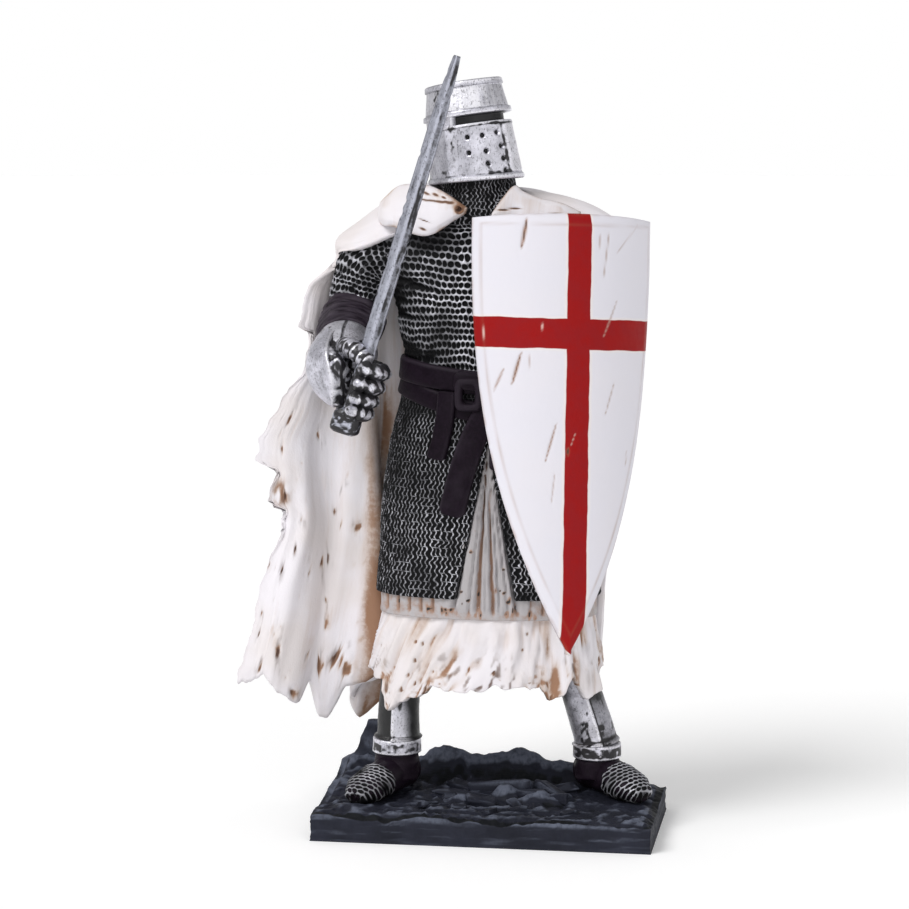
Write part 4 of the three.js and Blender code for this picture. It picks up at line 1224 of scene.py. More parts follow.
def flap(shells, top, low, bulge, worn_places, clasped):
    top, low = [spline(np.array(rows) + (0, 0, SOLE), even(100)) for rows in (top, low)]
    share = even(48)[:, None, None]
    sheet = mix(top[None], low[None], share)
    sheet[..., 1] -= bulge * np.sin(share[..., 0] * math.pi)
    x, z = sheet[..., 0], sheet[..., 2] - SOLE
    cx, cz, radius = CLASP
    away = np.hypot(x - cx, z - cz) if clasped else 9 + 0 * x
    ring = crease(away - radius, 0.35)
    line = (
        np.interp(x, [-18, -14.5, -11.5, -8.5], [146.3, 145.9, 145.7, 145.4])
        + 0.15 * noise(flat(x, z), 0.8, 53)
    )
    fold_line = crease(z - line, 0.26) * ease(x, -18.5, -16.5) * (1 - ease(x, -8.6, -7.6))
    slanted = z + 0.35 * (x + 12.5) * (1 if clasped else 0.1)
    cut = np.maximum(
        0.8 * fold_line,
        pits(
            x, slanted,
            [(wx, wz + 0.35 * (wx + 12.5) * clasped, wide, high) for wx, wz, wide, high in worn_places]
        )
    )
    down, across = run_of(sheet), run_of(sheet, 1)
    edge = np.minimum(np.minimum(down, down[-1:] - down), across[:, -1:] - across)
    lift = 0.9 * np.sqrt(clamp(edge / 1.6)) + 0.2 * noise(sheet, 3.0, 54) - 0.5 * cut + 0.25 * ring
    lift = lift - 0.9 * (1 - ease(away, 0.3, 0.8))
    front, back = sheet - flat(0, lift), sheet + (0, 1.4, 0)
    beige = 0.3 * mottled(sheet, 3.0, 56, -0.1, 0.6)
    stain_and_shade = clamp(
        cut + 0.75 * ring + 0.3 * (1 - ease(away, 0.8, 2.4)) + 0.3 * (1 - ease(edge, 0, 0.9)) + beige
    )
    tone = clamp(0.85 * cut + 0.7 * ring * mottled(sheet, 0.6, 55, -0.3, 0.3) + 1 - ease(away, 0.35, 0.7))
    shells.slab(front, back, {"stain_and_shade": stain_and_shade, "tone": tone}, flat(x, z))


class KNIGHT_OT_cloak(bpy.types.Operator):
    """Sculpts the torn cloak, its hood and its clasp"""

    bl_idname = "knight.cloak"
    bl_label = "Cloak"

    def execute(self, context):
        cloak()
        hood()
        return {"FINISHED"}


# Torn holes: degrees round from the front and height
SURCOAT_TEARS = [
    (-30, 39), (-22, 32), (-4, 33.5), (5, 33), (44, 32), (19, 38), (-35, 35), (-38, 31), (-35, 39.5),
    (-38, 33.6), (-42, 27.5)
]


def surcoat():
    tatter = settings().cloth.tatter / MM
    angle = angles_round(0.4, 115.0, 24)[None, :-1]
    degrees = from_front(angle)
    t = even(64)[:, None]
    arc, down = degrees * 0.45 + 0 * t, t * 22 + 0 * angle
    in_front = ease(180 - np.abs(degrees), 0, 30)
    torn = tatter * (0.5 * noise(flat(arc, 0), 1.6, 61) + 0.4 * noise(flat(arc, 5), 0.8, 62))
    slant = arc + (0.1 + 0.45 * ease(-arc, -10, 25)) * down + 0.8 * noise(flat(arc, down), 7.0, 66)
    wide_folds, fine_folds = (
        noise(flat(slant, down * 0.15), 6.0, 63), noise(flat(slant, down * 0.25), 2.2, 64)
    )
    fibres = noise(flat(slant, down * 0.12), 0.8, 67)
    height = mix(QUILT_HEM + 3, along(SURCOAT_EDGE, degrees, 1), t)
    torn_in = np.max([blob(arc, height, 0.45 * around, z, 0.4, 0.9) for around, z in SURCOAT_TEARS], 0)
    strewn = pits(arc, down, scattered(60, 12, (-50, 6), (50, 22), (0.2, 0.42)))
    torn_in = ease(np.maximum(torn_in, 0.8 * strewn) + 0.6 * noise(flat(arc, down * 0.5), 0.6, 68), 0.5, 1.0)
    relief = in_front * (1.2 * wide_folds + 1.1 * fine_folds + 0.6 * fibres)
    lift = ease(t, 0.0, 0.4) * relief - 0.5 * torn_in
    outer = surcoat_point(angle, t, lift, torn)
    inner = surcoat_point(angle, t, 0.6 * ease(t, 0.7, 1) + 0.7 * lift - SURCOAT_THICKNESS, torn)
    patchy = mottled(outer, 5.0, 65, -0.3, 0.5)
    valley = ease(-relief, 0.15, 1.0)
    seam = 1 - ease(t, 0.0, 0.14)
    smudges = 0.4 * ease(t, 0.55, 1.02) * mottled(outer, 0.8, 69, -0.15, 0.5) * ease(wide_folds, 0.4, -0.3)
    beige = 0.5 * mottled(flat(slant, down * 0.3), 3.5, 70, -0.1, 0.6)
    # Painted shade, with some grey wash: an overall darkening of the surcoat in mottled bands.
    darkening = 0.09 + 0.12 * mottled(flat(slant, down * 0.3), 1.6, 71, -0.2, 0.6)
    cracks = ease(t, 0.35, 1.0) * mottled(flat(slant, down * 0.22), 0.55, 72, 0.12, 0.45)
    cracks = cracks * mottled(outer, 3.0, 73, -0.2, 0.4)
    stain_and_shade = (
        0.4 * cracks + 0.4 * valley + (0.4 * ease(-fibres, 0.0, 0.6) + 0.5 * seam) * patchy + smudges
        + beige + 0.85 * torn_in
    )
    marks = {"stain_and_shade": clamp(stain_and_shade), "tone": darkening + 0.55 * cracks + 0.4 * ease(torn_in, 0.6, 1.0)}
    shells = Shells().slab(outer, inner, marks, flat(slant, down), closed=True)
    shells.build("surcoat", "cloth_paint")


# Grooves across the split: share from its left edge, half width, depth, and how brown
QUILT_GROOVES = [
    (0.0, 0.03, 1.0, 0.3), (0.24, 0.018, 0.6, 0.3), (0.38, 0.045, 1.0, 1.0), (0.5, 0.012, 0.4, 0.2),
    (0.62, 0.035, 0.9, 1.0), (0.73, 0.016, 0.6, 0.4), (0.88, 0.015, 0.5, 0.3), (1.0, 0.03, 1.0, 0.3),
]
QUILT_PITS = [
    (4, 57.9), (4.2, 52.3), (5.2, 50), (-4, 62), (-6.4, 52.3), (-4.8, 50.2), (-14.8, 47.8), (-10.4, 47.8),
    (-9.2, 47.8)
]


def quilted_coat():
    angle = angles_round(0.32, 75.0, 16)[None, :-1]
    z = np.concatenate([np.linspace(QUILT_HEM, 51.5, 30), np.linspace(51.8, 92, 80)])[:, None]
    x = trunk_point(angle, z)[..., 0]
    slope = np.clip((z - MAIL_HEM + 2) / (SPLIT_TOP[1] - MAIL_HEM + 2), 0, 0.93)
    left, right = mix(SPLIT_LEFT, SPLIT_TOP[0], slope), mix(SPLIT_RIGHT, SPLIT_TOP[0], slope)
    share = (x - left) / (right - left)
    in_split = (
        ease(share, -0.3, -0.1) * (1 - ease(share, 1.1, 1.3)) * ease(np.cos(angle), 0.2, 0.3)
        * ease(z, 46.5, 49)
    )
    sunk, brown = np.zeros_like(x), np.zeros_like(x)
    for at, half, deep, dark in QUILT_GROOVES:
        groove = crease(share - at - 0.02 * noise(flat(x, z), 3.0, 71), half)
        sunk, brown = np.maximum(sunk, deep * groove), np.maximum(brown, dark * groove)
    notch = crease((x / 3.1) % 1 - 0.5, 0.13) * ease(z, QUILT_HEM + 0.5, QUILT_HEM + 2)
    streaks = noise(flat(x * 3, z * 0.4), 1.0, 73)
    band = 1 - in_split
    lift = in_split * (0.8 - 1.8 * sunk + 0.2 * streaks)
    lift = lift + band * (0.5 - 0.6 * notch + 0.15 * rough(flat(x, z), 1.2, 72) - 1.3 * ease(z, 50.8, 52.3))
    points = trunk_point(angle, z, lift - 1.5)
    strewn = scattered(30, 15, (-24, 60), (14, 46), (0.2, 0.35))
    holes = np.maximum(
        pits(x, z + 0 * angle, [(px, pz, 0.5, 0.5) for px, pz in QUILT_PITS]),
        0.8 * pits(x, z + 0 * angle, strewn)
    )
    stain_and_shade = (
        in_split * (0.9 * brown + 0.25 * streaks + 0.25 * ease(z, 70, 85)) + band * (0.4 * notch + 0.42)
        + holes
    )
    # Near-black painted shade in the split's grooves, deeper towards its top, and in the band's notches; the
    # holes are dark torn pits.
    tone = in_split * sunk * mix(0.45, 1.0, ease(z, 58, 80)) + 0.55 * band * notch + ease(holes, 0.4, 0.8)
    marks = {"stain_and_shade": clamp(stain_and_shade), "tone": clamp(tone)}
    Shells().stack(points, marks).build("quilted_coat", "quilt_paint")


class KNIGHT_OT_coats(bpy.types.Operator):
    """Sculpts the white surcoat's ragged skirt and the quilted coat in the split"""

    bl_idname = "knight.coats"
    bl_label = "Surcoat and quilted coat"

    def execute(self, context):
        surcoat()
        quilted_coat()
        return {"FINISHED"}


# Steel


def steel(shells, points, recess, wear_and_highlight=0.0, tone=0.0):
    """A stack of rings in steel, with wash that gathers in its recesses and in cloudy patches, and painted
    shade and highlight where a piece asks for them.
    """
    marks = {"stain_and_shade": recess + 0.22 * rough(points, 5.0, 81), "wear_and_highlight": wear_and_highlight, "tone": tone}
    return shells.stack(points, {name: clamp(values) for name, values in marks.items()})


HELM_PROFILE = [  # height above the lower rim, half length, half width
    [0.0, 11.8, 10.0], [0.25, 12.1, 10.3], [0.9, 12.1, 10.3], [1.25, 11.8, 10.0], [1.45, 11.65, 9.75],
    [12.5, 10.7, 9.15], [12.65, 10.95, 9.4], [13.2, 10.85, 9.3], [13.35, 10.6, 9.1], [15.35, 10.5, 9.0],
    [15.5, 11.2, 9.6], [16.5, 11.05, 9.5], [16.75, 10.45, 9.05], [22.1, 9.55, 8.15], [22.3, 9.95, 8.5],
    [23.3, 9.85, 8.4], [23.6, 9.5, 8.05], [23.62, 4.0, 3.4],
]
HELM_SIGHT = (13.3, 15.42)
# Breath holes of the left cheek: degrees round from the keel, and height
HELM_HOLES = [
    (-65.1, 10.2), (-43.8, 10.2), (-22.5, 10.6), (-19.7, 7.5), (-66, 6.6), (-41.9, 6.65), (-19.7, 4.65),
    (-41.9, 3.75), (-19.7, 1.9)
]
# Dark stains: degrees, height, half width in degrees, half height, strength
HELM_STAINS = [
    (-107.7, 20.6, 7, 1.6, 0.85), (-86, 13.0, 4, 0.9, 0.8), (-86.5, 9.5, 3, 3.2, 0.6),
    (-97, 7.0, 8, 3.6, 0.45), (-102, 2.5, 12, 1.3, 0.6), (-41, 2.6, 4, 0.8, 0.6), (-35, 1.6, 22, 0.5, 0.7),
    (-31, 12.7, 24, 0.4, 0.7), (-15, 6.5, 3, 4.5, 0.8), (-70, 21.0, 20, 0.8, 0.35),
]


def helm():
    heights = [row[0] for row in HELM_PROFILE]
    z = np.unique(np.concatenate([heights, [h + 0.04 for h in heights[:-1]], np.arange(0, 23.6, 0.28)]))
    length, width = [np.interp(z, heights, [row[k] for row in HELM_PROFILE])[:, None] for k in (1, 2)]
    z = z[:, None]
    degrees = np.linspace(-180, 180, 280, endpoint=False)[None]
    angle = np.radians(degrees)
    front = np.maximum(0, np.cos(angle))
    keel = 1 + 0.1 * front**10 - 0.06 * front
    in_sight = (
        ease(z, HELM_SIGHT[0], HELM_SIGHT[0] + 0.12) * (1 - ease(z, HELM_SIGHT[1] - 0.12, HELM_SIGHT[1]))
    )
    slit = in_sight * ease(np.cos(angle), 0.12, 0.2)
    lip = in_sight * crease(np.abs(degrees) - 84.5, 2.0)
    on_face = ease(z, 1.3, 1.6) * (1 - ease(z, 12.3, 12.7))
    bar = np.exp(-((degrees / 13) ** 6)) * on_face
    beside = crease(np.abs(degrees) - 15.5, 2.0) * on_face
    holes = np.zeros(np.broadcast(z, degrees).shape)
    for spot, height in HELM_HOLES:
        for mirrored in (spot, -spot):
            across = (degrees - mirrored) * math.pi / 180 * 10.2
            holes = np.maximum(holes, 1 - ease(np.hypot(across, z - height), 0.4, 0.72))
    side_seam = 0.3 * crease(np.abs(degrees) - 88, 1.4) * (1 - ease(z, 22.0, 22.2)) * ease(z, 1.3, 1.6)
    lift = 0.35 * bar + 0.3 * lip - 0.4 * side_seam - holes - 1.6 * slit
    dipped = z - 0.8 * np.cos(angle) * (1 - np.clip(z, 0, 13) / 13)
    local = flat(np.sin(angle) * (width + lift), -np.cos(angle) * (length + lift) * keel, dipped)
    dents = settings().steel.dent / MM * rough(local, 4.0, 82) * ease(z, 1.4, 2.0)
    local += unit(local * (1, 1, 0)) * dents[..., None]
    points = turned(turned(local, 0, -HELM_TILT), 2, HELM_TURN) + HELM_BASE
    rims = [1.4, 12.6, 16.75, 22.2]
    under_rim = sum(crease(z - rim, 0.28) for rim in rims)
    darkening = sum(strength * blob(degrees, z, *where) for *where, strength in HELM_STAINS)
    darkening = darkening * (0.7 + 1.2 * noise(points, 0.9, 83)) + 0.25 * ease(np.abs(degrees), 120, 170)
    recess = 0.45 * under_rim + 0.5 * beside + 0.5 * side_seam + darkening
    lips = crease(z - 15.6, 0.22) + crease(z - 13.0, 0.25) + lip
    brushed = (
        noise(flat(degrees * 0.6, z * 0.25), 1.0, 84) + 0.7 * noise(flat(degrees * 1.6, z * 0.4), 1.0, 85)
    )
    on_skull = ease(z, 16.6, 17.0) * ease(z, 22.2, 22.0)
    speckled = on_face * crease(degrees + 78, 14) * mottled(points, 0.8, 86, 0.0, 0.5)
    recess = recess + 0.45 * speckled + 0.3 * on_skull * ease(-brushed, 0.3, 1.0)
    worn_rims_and_lit_skull = 0.7 * lips + 0.6 * crease(z - 0.6, 0.4) + 0.8 * crease(z - 23.1, 0.3) + 0.6 * bar + 0.15
    # A painted highlight makes the skull plate lighter, where the light falls on the helm's top.
    worn_rims_and_lit_skull = worn_rims_and_lit_skull + on_skull * (0.75 + 0.5 * brushed)
    # Painted shade on the side behind the sword and across part of the skull plate.
    shaded_sides = 0.52 * ease(degrees, -90, -98) + 0.44 * on_skull * ease(degrees, -50, -30)
    tone = np.maximum(np.maximum(slit, ease(holes, 0.25, 0.7)), shaded_sides)
    steel(Shells(), points, recess, worn_rims_and_lit_skull - shaded_sides, tone).build("helm", "steel_paint")


class KNIGHT_OT_helm(bpy.types.Operator):
    """Sculpts the great helm with its sight and breath holes"""

    bl_idname = "knight.helm"
    bl_label = "Helm"

    def execute(self, context):
        helm()
        return {"FINISHED"}


FINGER = 1.9


def right_gauntlet():
    shells = Shells()
    cuff = Limb([[-34.2, -8.2, 110.0, 7.8], [-34.2, -11.4, 108.8, 7.7], [-34, -14, 107.2, 7.2]], 40, 100)
    points = cuff.rings(0.2 * noise(cuff.rings(), 3.0, 97))
    x, z = points[..., 0], points[..., 2] - SOLE
    seam = crease(x + 33.5, 0.45) + 0.8 * crease(z - 111.8 - 0.3 * (x + 33), 0.4)
    chain = ease(z, 110.5, 112.5) * ease(x, -35.5, -37) * mottled(points, 0.8, 98, -0.25, 0.2)
    steel(shells, points, 0.14 + 0.8 * seam + 0.7 * chain, 0.35 * (1 - seam) * (1 - chain))
    back = [[-35.2, -10, 109, 6.8, 7.8], [-36, -16.5, 106, 6, 8.4], [-32.6, -22.5, 103.5, 3.4, 7.6]]
    plate = Limb(back, 70, 100)
    points = plate.rings()
    border = -34.8 + 0.9 * np.sin((points[..., 2] - SOLE - 98) / 3.2)
    glove = ease(points[..., 0], border - 0.15, border + 0.15) * ease(-points[..., 1], 10, 13)
    rough_glove = noise(points, 0.9, 92)
    points = plate.rings(0.12 * rough(points, 3.0, 93) - glove * (0.9 - 0.35 * rough_glove))
    rim = crease(points[..., 0] - border + 0.3, 0.4) * ease(-points[..., 1], 10, 13)
    recess = glove * (0.45 - 0.9 * rough_glove) + 0.28
    steel(shells, points, recess, 0.8 * rim + glove * ease(rough_glove, 0.3, 0.7), 0.1 + 0.1 * glove)
    for lift, reach in ((3.6, 6.0), (0, 5.4), (-3.5, 4.4), (-6.6, 3.8)):
        finger(shells, lift, reach)
    thumb = Limb([[-32.5, -18, 111.5, 2.6], [-29.8, -22.5, 111.8, 2.3], [-26, -25.2, 109.4, 1.9]], 50, 40)
    banded(shells, thumb)
    boss = Limb([[-33.4, -20.8, 104.4, 1.5], [-32.6, -21.6, 106.6, 1.6]], 14, 30)
    steel(shells, boss.rings(), 0.0, 1.0)
    shells.build("right_gauntlet", "steel_paint")


def banded(shells, limb):
    _, run = limb.grid()
    bands = (run / 2.1) % 1
    groove = crease(bands - 0.5, 0.12)
    points = limb.rings(0.1 - 0.4 * groove)
    flecks = noise(points, 0.9, 96)
    lip = crease(bands - 0.72, 0.1)
    steel(shells, points, 0.75 * groove + 0.5 - 0.7 * flecks - lip, lip, 0.3 * groove)


def finger(shells, lift, reach):
    bend = GRIP_RADIUS + FINGER * 1.15
    turn = np.radians(np.linspace(-150, 95, 64))[:, None, None]
    out = SWORD_ACROSS * np.cos(turn) - SWORD_BACK * np.sin(turn)
    spread = bend + (reach - bend) * np.maximum(0, np.cos(turn)) * 0.5
    around = full_turn(34)[None, :, None]
    place_on = ((np.degrees(turn) + 150) / 46) % 1
    knuckles = crease(place_on - 0.5, 0.14)
    lip = crease(place_on - 0.74, 0.1) + 0.7 * crease(place_on - 0.26, 0.08)
    end = np.minimum(ease(np.degrees(turn), -151, -140), 1 - ease(np.degrees(turn), 84, 96) * 0.7)
    thick = FINGER * (0.35 + 0.65 * end) - 0.38 * knuckles + 0.15 * np.cos(4 * around) + 0.12 * lip
    points = FIST + SWORD_LINE * lift + out * (spread + np.cos(around) * thick)
    points = points + SWORD_LINE * np.sin(around) * thick
    between_fingers = ease(np.abs(np.sin(around[..., 0])), 0.35, 0.8)
    flecks = noise(points, 0.8, 94)
    bright = lip[..., 0] * (1 - between_fingers)
    recess = 0.8 * knuckles[..., 0] + 0.6 * between_fingers + 0.4 - 0.9 * flecks - 0.45 * bright
    tone = 0.32 * between_fingers + 0.3 * knuckles[..., 0] + 0.12
    steel(shells, points, recess, 0.7 * bright, tone * (1 - bright))


def forearm_strap():
    path = [
        [-33.8, 4.4, 117.4, 7.6], [-34.7, 1.5, 115.2, 7.7], [-34.9, -2.5, 112.9, 7.4],
        [-34.5, -6, 111.3, 7.2]
    ]
    band = Limb(path, 36, 90, reach=0.1)
    angle, run = band.grid()
    strands = noise(flat(angle * 3, run * 1.7), 1.0, 95)
    points = band.rings(0.28 * strands + 0.25 * noise(band.rings(), 4.0, 99))
    shells = Shells().stack(points, {"wear_and_highlight": 0.8 + 1.2 * strands, "stain_and_shade": ease(-strands, 0.2, 0.8)})
    shells.build("forearm_strap", "leather_paint")


class KNIGHT_OT_hands(bpy.types.Operator):
    """Sculpts the gauntlets and the leather strap round the right forearm"""

    bl_idname = "knight.hands"
    bl_label = "Gauntlets"

    def execute(self, context):
        right_gauntlet()
        left = Limb([[21, -7.5, 109.3, 6.2], [16, -12.2, 109, 5.6], [11.5, -14.6, 109, 5]], 40, 60)
        points = left.rings(0.15 * rough(left.rings(), 2.5, 91))
        shells = steel(Shells(), points, 0.15)
        shells.build("left_gauntlet", "steel_paint")
        forearm_strap()
        return {"FINISHED"}


def greave(name, leg):
    x, y, z = leg["ankle"]
    hip, calf = np.array(leg["hip"], float), np.array(leg["calf"], float)
    stations = [[*mix(calf, hip, 0.6), 6.6], [*calf, 5], [x, y, z + 1, 5.3], [x, y, z - 1.8, 5.0]]
    limb = Limb(stations, 90, 90, (0, 1, 0))
    height = limb.middle[:, 2:] - SOLE
    angle = limb.angles[None]
    outer = -1 if name == "right" else 1
    front = -np.sin(angle)
    toward_outer = -np.cos(angle) * outer
    strip = 0.12 if outer < 0 else 0.32  # where the side plate begins
    in_shade = 0.3 if outer < 0 else 0.0  # the right leg stands in the shade of the cloak
    edge = ease(toward_outer, strip, strip + 0.05) * ease(front, -0.9, -0.5)
    lip = crease(toward_outer - strip + 0.07, 0.06) * ease(front, -0.9, -0.5)
    rim = crease(height - z - 0.9, 0.4)
    lower = crease(height - z + 1.9, 0.4)
    points = limb.rings()
    points = limb.rings(
        0.7 * rim + 0.6 * lower + 0.25 - 0.6 * edge + 0.3 * lip + 0.15 * rough(points, 3.0, 101)
    )
    rivet = 1 - ease(np.hypot(toward_outer * 5.2 + 1.5, height - z - 6.8), 0.3, 0.6)
    rivet = rivet * ease(front, 0, 0.3) * (outer > 0)
    gap = crease(height - z + 0.4, 0.7) + crease(height - z - 1.7, 0.3)
    # Mottled wash patches, and painted shade darkening the top of the greave under the surcoat's hem.
    patches_and_hem_shade = (
        0.8 * mottled(points * (1, 1, 0.5), 1.8, 102, -0.1, 0.5) * mottled(points, 0.7, 104, -0.4, 0.3)
        + 0.3 * ease(height, 20, 30)
    )
    recess = 0.8 * gap + 0.6 * crease(toward_outer - strip - 0.04, 0.05) + 0.36 * edge + patches_and_hem_shade
    wear_and_highlight = 0.5 * rim + 0.5 * lower + 0.7 * lip + 0.3 * (1 - edge) * ease(height, 26, 16)
    shadowed = in_shade + 0.52 * edge + 0.45 * ease(height, 19, 29) + 0.5 * ease(-toward_outer, 0.25, 0.9)
    shells = steel(Shells(), points, recess, wear_and_highlight, np.maximum(rivet, shadowed))
    cuff = Limb([[x, y, z - 2.8, 6.0], [x, y, z + 0.4, 5.9]], 26, 90, (0, 1, 0), reach=0.08)
    band = cuff.rings(0.12 * rough(cuff.rings(), 1.6, 103))
    above = cuff.middle[:, 2:] - SOLE - z
    lips = crease(above - 0.3, 0.35) + crease(above + 2.7, 0.3)
    flecks = noise(band, 0.8, 105)
    dark = 0.45 if outer < 0 else 0.8
    steel(shells, band, dark - 0.7 * flecks - lips, 0.6 * lips, 0.3)
    shells.build(name + "_greave", "steel_paint")


def foot_limb(leg, rows, around, low=0.0, high=1.0):
    heel, toe = np.array(leg["heel"]), np.array(leg["toe"])
    form = np.array(
        [
            [0.02, 4.0, 3.4, 3.9], [0.28, 4.8, 4.2, 4.8], [0.58, 4.2, 4.7, 4.2], [0.82, 3.3, 4.8, 3.3],
            [0.97, 2.4, 3.0, 2.2]
        ]
    )
    shares, *rest = [between(column, np.linspace(low, high, 9)) for column in form.T]
    stations = np.column_stack([mix(heel, toe, shares[:, None]), *rest])
    return Limb(stations, rows, around, (0, 0, 1), reach=0.45)


def boot(name, leg):
    x, y, z = leg["ankle"]
    shells = Shells()
    foot = foot_limb(leg, 56, 56)
    creases = foot.rings(0.22 * noise(foot.rings(), 2.4, 111))
    creases[..., 2] = np.maximum(creases[..., 2], SOLE - 0.25)
    shells.stack(creases, {"wear_and_highlight": 0.1})
    top = Limb(
        [[x, y + 0.4, z - 1.2, 5.1], [x, y, z - 4.5, 5.5], [x, y - 0.6, 3.2, 5.2]], 30, 60, (0, 1, 0),
        reach=0.1
    )
    wrinkles = 0.3 * noise(top.rings() * (1, 1, 2.2), 3.0, 112)
    shells.stack(top.rings(wrinkles), {"wear_and_highlight": 0.15 + wrinkles * 0.8})
    shells.build(name + "_boot", "leather_paint")
    cap = foot_limb(leg, 68, 100, 0.52, 1.0)
    shells = Shells()
    points = cap.rings()
    heel, toe = np.array(leg["heel"]), np.array(leg["toe"])
    ahead = (toe - heel) / math.hypot(*(toe - heel))
    offset = points[..., :2] - toe
    sideways = offset @ (ahead[1], -ahead[0])
    forwards = offset @ ahead + 0.8 * (6 - points[..., 2] + SOLE)
    relief, surface = mail_map(points, sideways / 1.4, forwards / 1.35, 0.0)
    lifted = cap.rings(0.4 * relief)
    lifted[..., 2] = np.maximum(lifted[..., 2], SOLE - 0.2)
    # The right foot's mail is darker, as painted shade from the cloak, and the rings darken towards the sole.
    bright = (
        0.62 - 0.25 * ease(-points[..., 0], 0, 5) + 0.5 * noise(points, 3.0, 113)
        - 0.5 * ease(points[..., 2] - SOLE, 2.5, 0.5)
    )
    shells.stack(lifted, {"wear_and_highlight": clamp(bright), "tone": 0.1}, surface)
    shells.build(name + "_toe_mail", "mail_paint")


class KNIGHT_OT_legs(bpy.types.Operator):
    """Sculpts the greaves, the boots and their mailed toes"""

    bl_idname = "knight.legs"
    bl_label = "Legs"

    def execute(self, context):
        for name, leg in LEGS.items():
            greave(name, leg)
            boot(name, leg)
        return {"FINISHED"}


# Belts


def girdle(shells, middle, width, proud, thick, slant):
    angle = angles_round(0.7, 115.0, 14)[None, :-1]
    section = full_turn(16)[:, None]
    up, out = power(np.sin(section), 0.5), power(np.cos(section), 0.6)
    z = middle + width / 2 * up - slant * np.sin(angle)
    wave = 0.25 * noise(trunk_point(angle, z), 4.0, 121)
    points = trunk_point(angle, z, proud - thick / 2 + out * thick / 2 + wave)
    wear_and_highlight = ease(up, 0.6, 1.0) * ease(out, 0.2, 0.9) + 0.5 * ease(-up, 0.8, 1.0)
    shells.hoop(np.swapaxes(points, 0, 1), {"wear_and_highlight": wear_and_highlight.T})


def strap(shells, line, width, proud, rows=90):
    line = np.array([[x, 0.0, z] for x, z in line])
    middle = spline(line, even(rows))
    along_it = unit(np.gradient(middle, axis=0))
    section = full_turn(26)[None]
    over, out = power(np.sin(section), 0.55), power(np.cos(section), 0.6)
    taper = np.minimum(1, 0.7 + 0.3 * np.minimum(np.arange(rows), np.arange(rows)[::-1]) / 2)[:, None]
    x = middle[:, :1] - along_it[:, 2:] * over * width / 2 * taper
    z = middle[:, 2:] + along_it[:, :1] * over * width / 2 * taper
    lift = proud / 2 + out * (proud / 2 + 0.4)
    wrinkle = 0.2 * noise(flat(x, z), 2.5, 122)
    points = trunk_point(trunk_angle(x, z), z, lift + wrinkle)
    wear_and_highlight = ease(np.abs(over), 0.7, 1.0) * ease(out, 0.2, 0.9) + 1.5 * wrinkle
    shells.stack(points, {"wear_and_highlight": clamp(wear_and_highlight)})


def buckle(shells):
    turn = full_turn(60)[:, None]
    section = full_turn(16)[None]
    x = -4.2 + power(np.cos(turn), 0.45) * (2.2 + 0.9 * np.cos(section))
    z = 100.0 + power(np.sin(turn), 0.45) * (3.1 + 0.9 * np.cos(section))
    points = trunk_point(trunk_angle(x, z), z, 2.3 + 0.9 * np.sin(section))
    shells.hoop(points, {"wear_and_highlight": 0.1 + 0.4 * np.sin(section)})


class KNIGHT_OT_belts(bpy.types.Operator):
    """Sculpts the two belts, their hanging ends and the buckle"""

    bl_idname = "knight.belts"
    bl_label = "Belts"

    def execute(self, context):
        shells = Shells()
        girdle(shells, 102.6, 5.6, 1.6, 1.9, 2.7)
        girdle(shells, 95.4, 5.0, 0.8, 1.5, 6.2)
        # Lines on the trunk as x and height above the soles, then width and how proud they lie
        strap(shells, [[-9.4, 100.5], [-9.8, 95], [-10.8, 89], [-12, 84.4]], 4.1, 1.9)
        strap(shells, [[6, 100], [1.2, 97.5], [-2.5, 91], [-5.6, 82], [-8.2, 71]], 6.0, 2.1)
        strap(shells, [[7.5, 98], [4.2, 94], [2.6, 89], [2.4, 82]], 4.0, 1.2)
        strap(shells, [[-7.4, 103.4], [-4, 103], [-1, 102.6]], 4.2, 2.4, 40)
        buckle(shells)
        shells.build("belts", "leather_paint")
        return {"FINISHED"}


# Shield and sword


# Scratches on the board: from x, z to x, z, half width, depth, and how dark the wash in them is
SCRATCHES = [
    (-11.6, 26.4, -12.7, 19.6, 0.45, 0.45, 1.0), (5.9, 23.2, 5.6, 19.1, 0.2, 0.12, 0.45),
    (8.4, 24.5, 6.9, 12.4, 0.22, 0.15, 0.5), (17.3, 25.5, 10.8, 19.0, 0.18, 0.1, 0.35),
    (11.0, 7.9, 7.2, -0.8, 0.25, 0.15, 0.5), (-12.5, -4.8, -14.4, -12.1, 0.4, 0.35, 0.9),
    (-10.5, -4.5, -10.7, -9.6, 0.2, 0.12, 0.4), (-16.4, -8.6, -18.5, -13.6, 0.35, 0.2, 0.6),
    (10.6, -11.2, 8.0, -19.1, 0.22, 0.14, 0.5), (-8.0, 2.8, -7.5, -1.0, 0.09, 0.15, 0.0),
    (-21.5, 2.6, -20.8, -3.0, 0.09, 0.15, 0.0), (-4.2, -21.1, -6.6, -29.9, 0.28, 0.2, 0.75),
    (-4.4, -32.5, -5.1, -40.0, 0.2, 0.14, 0.4), (0.4, -23.1, -0.9, -26.8, 0.1, 0.2, 0.25),
    (-1.4, -26.8, -1.4, -28.6, 0.4, 0.35, 1.2), (14.7, -27.9, 14.5, -31.2, 0.2, 0.1, 0.4),
]


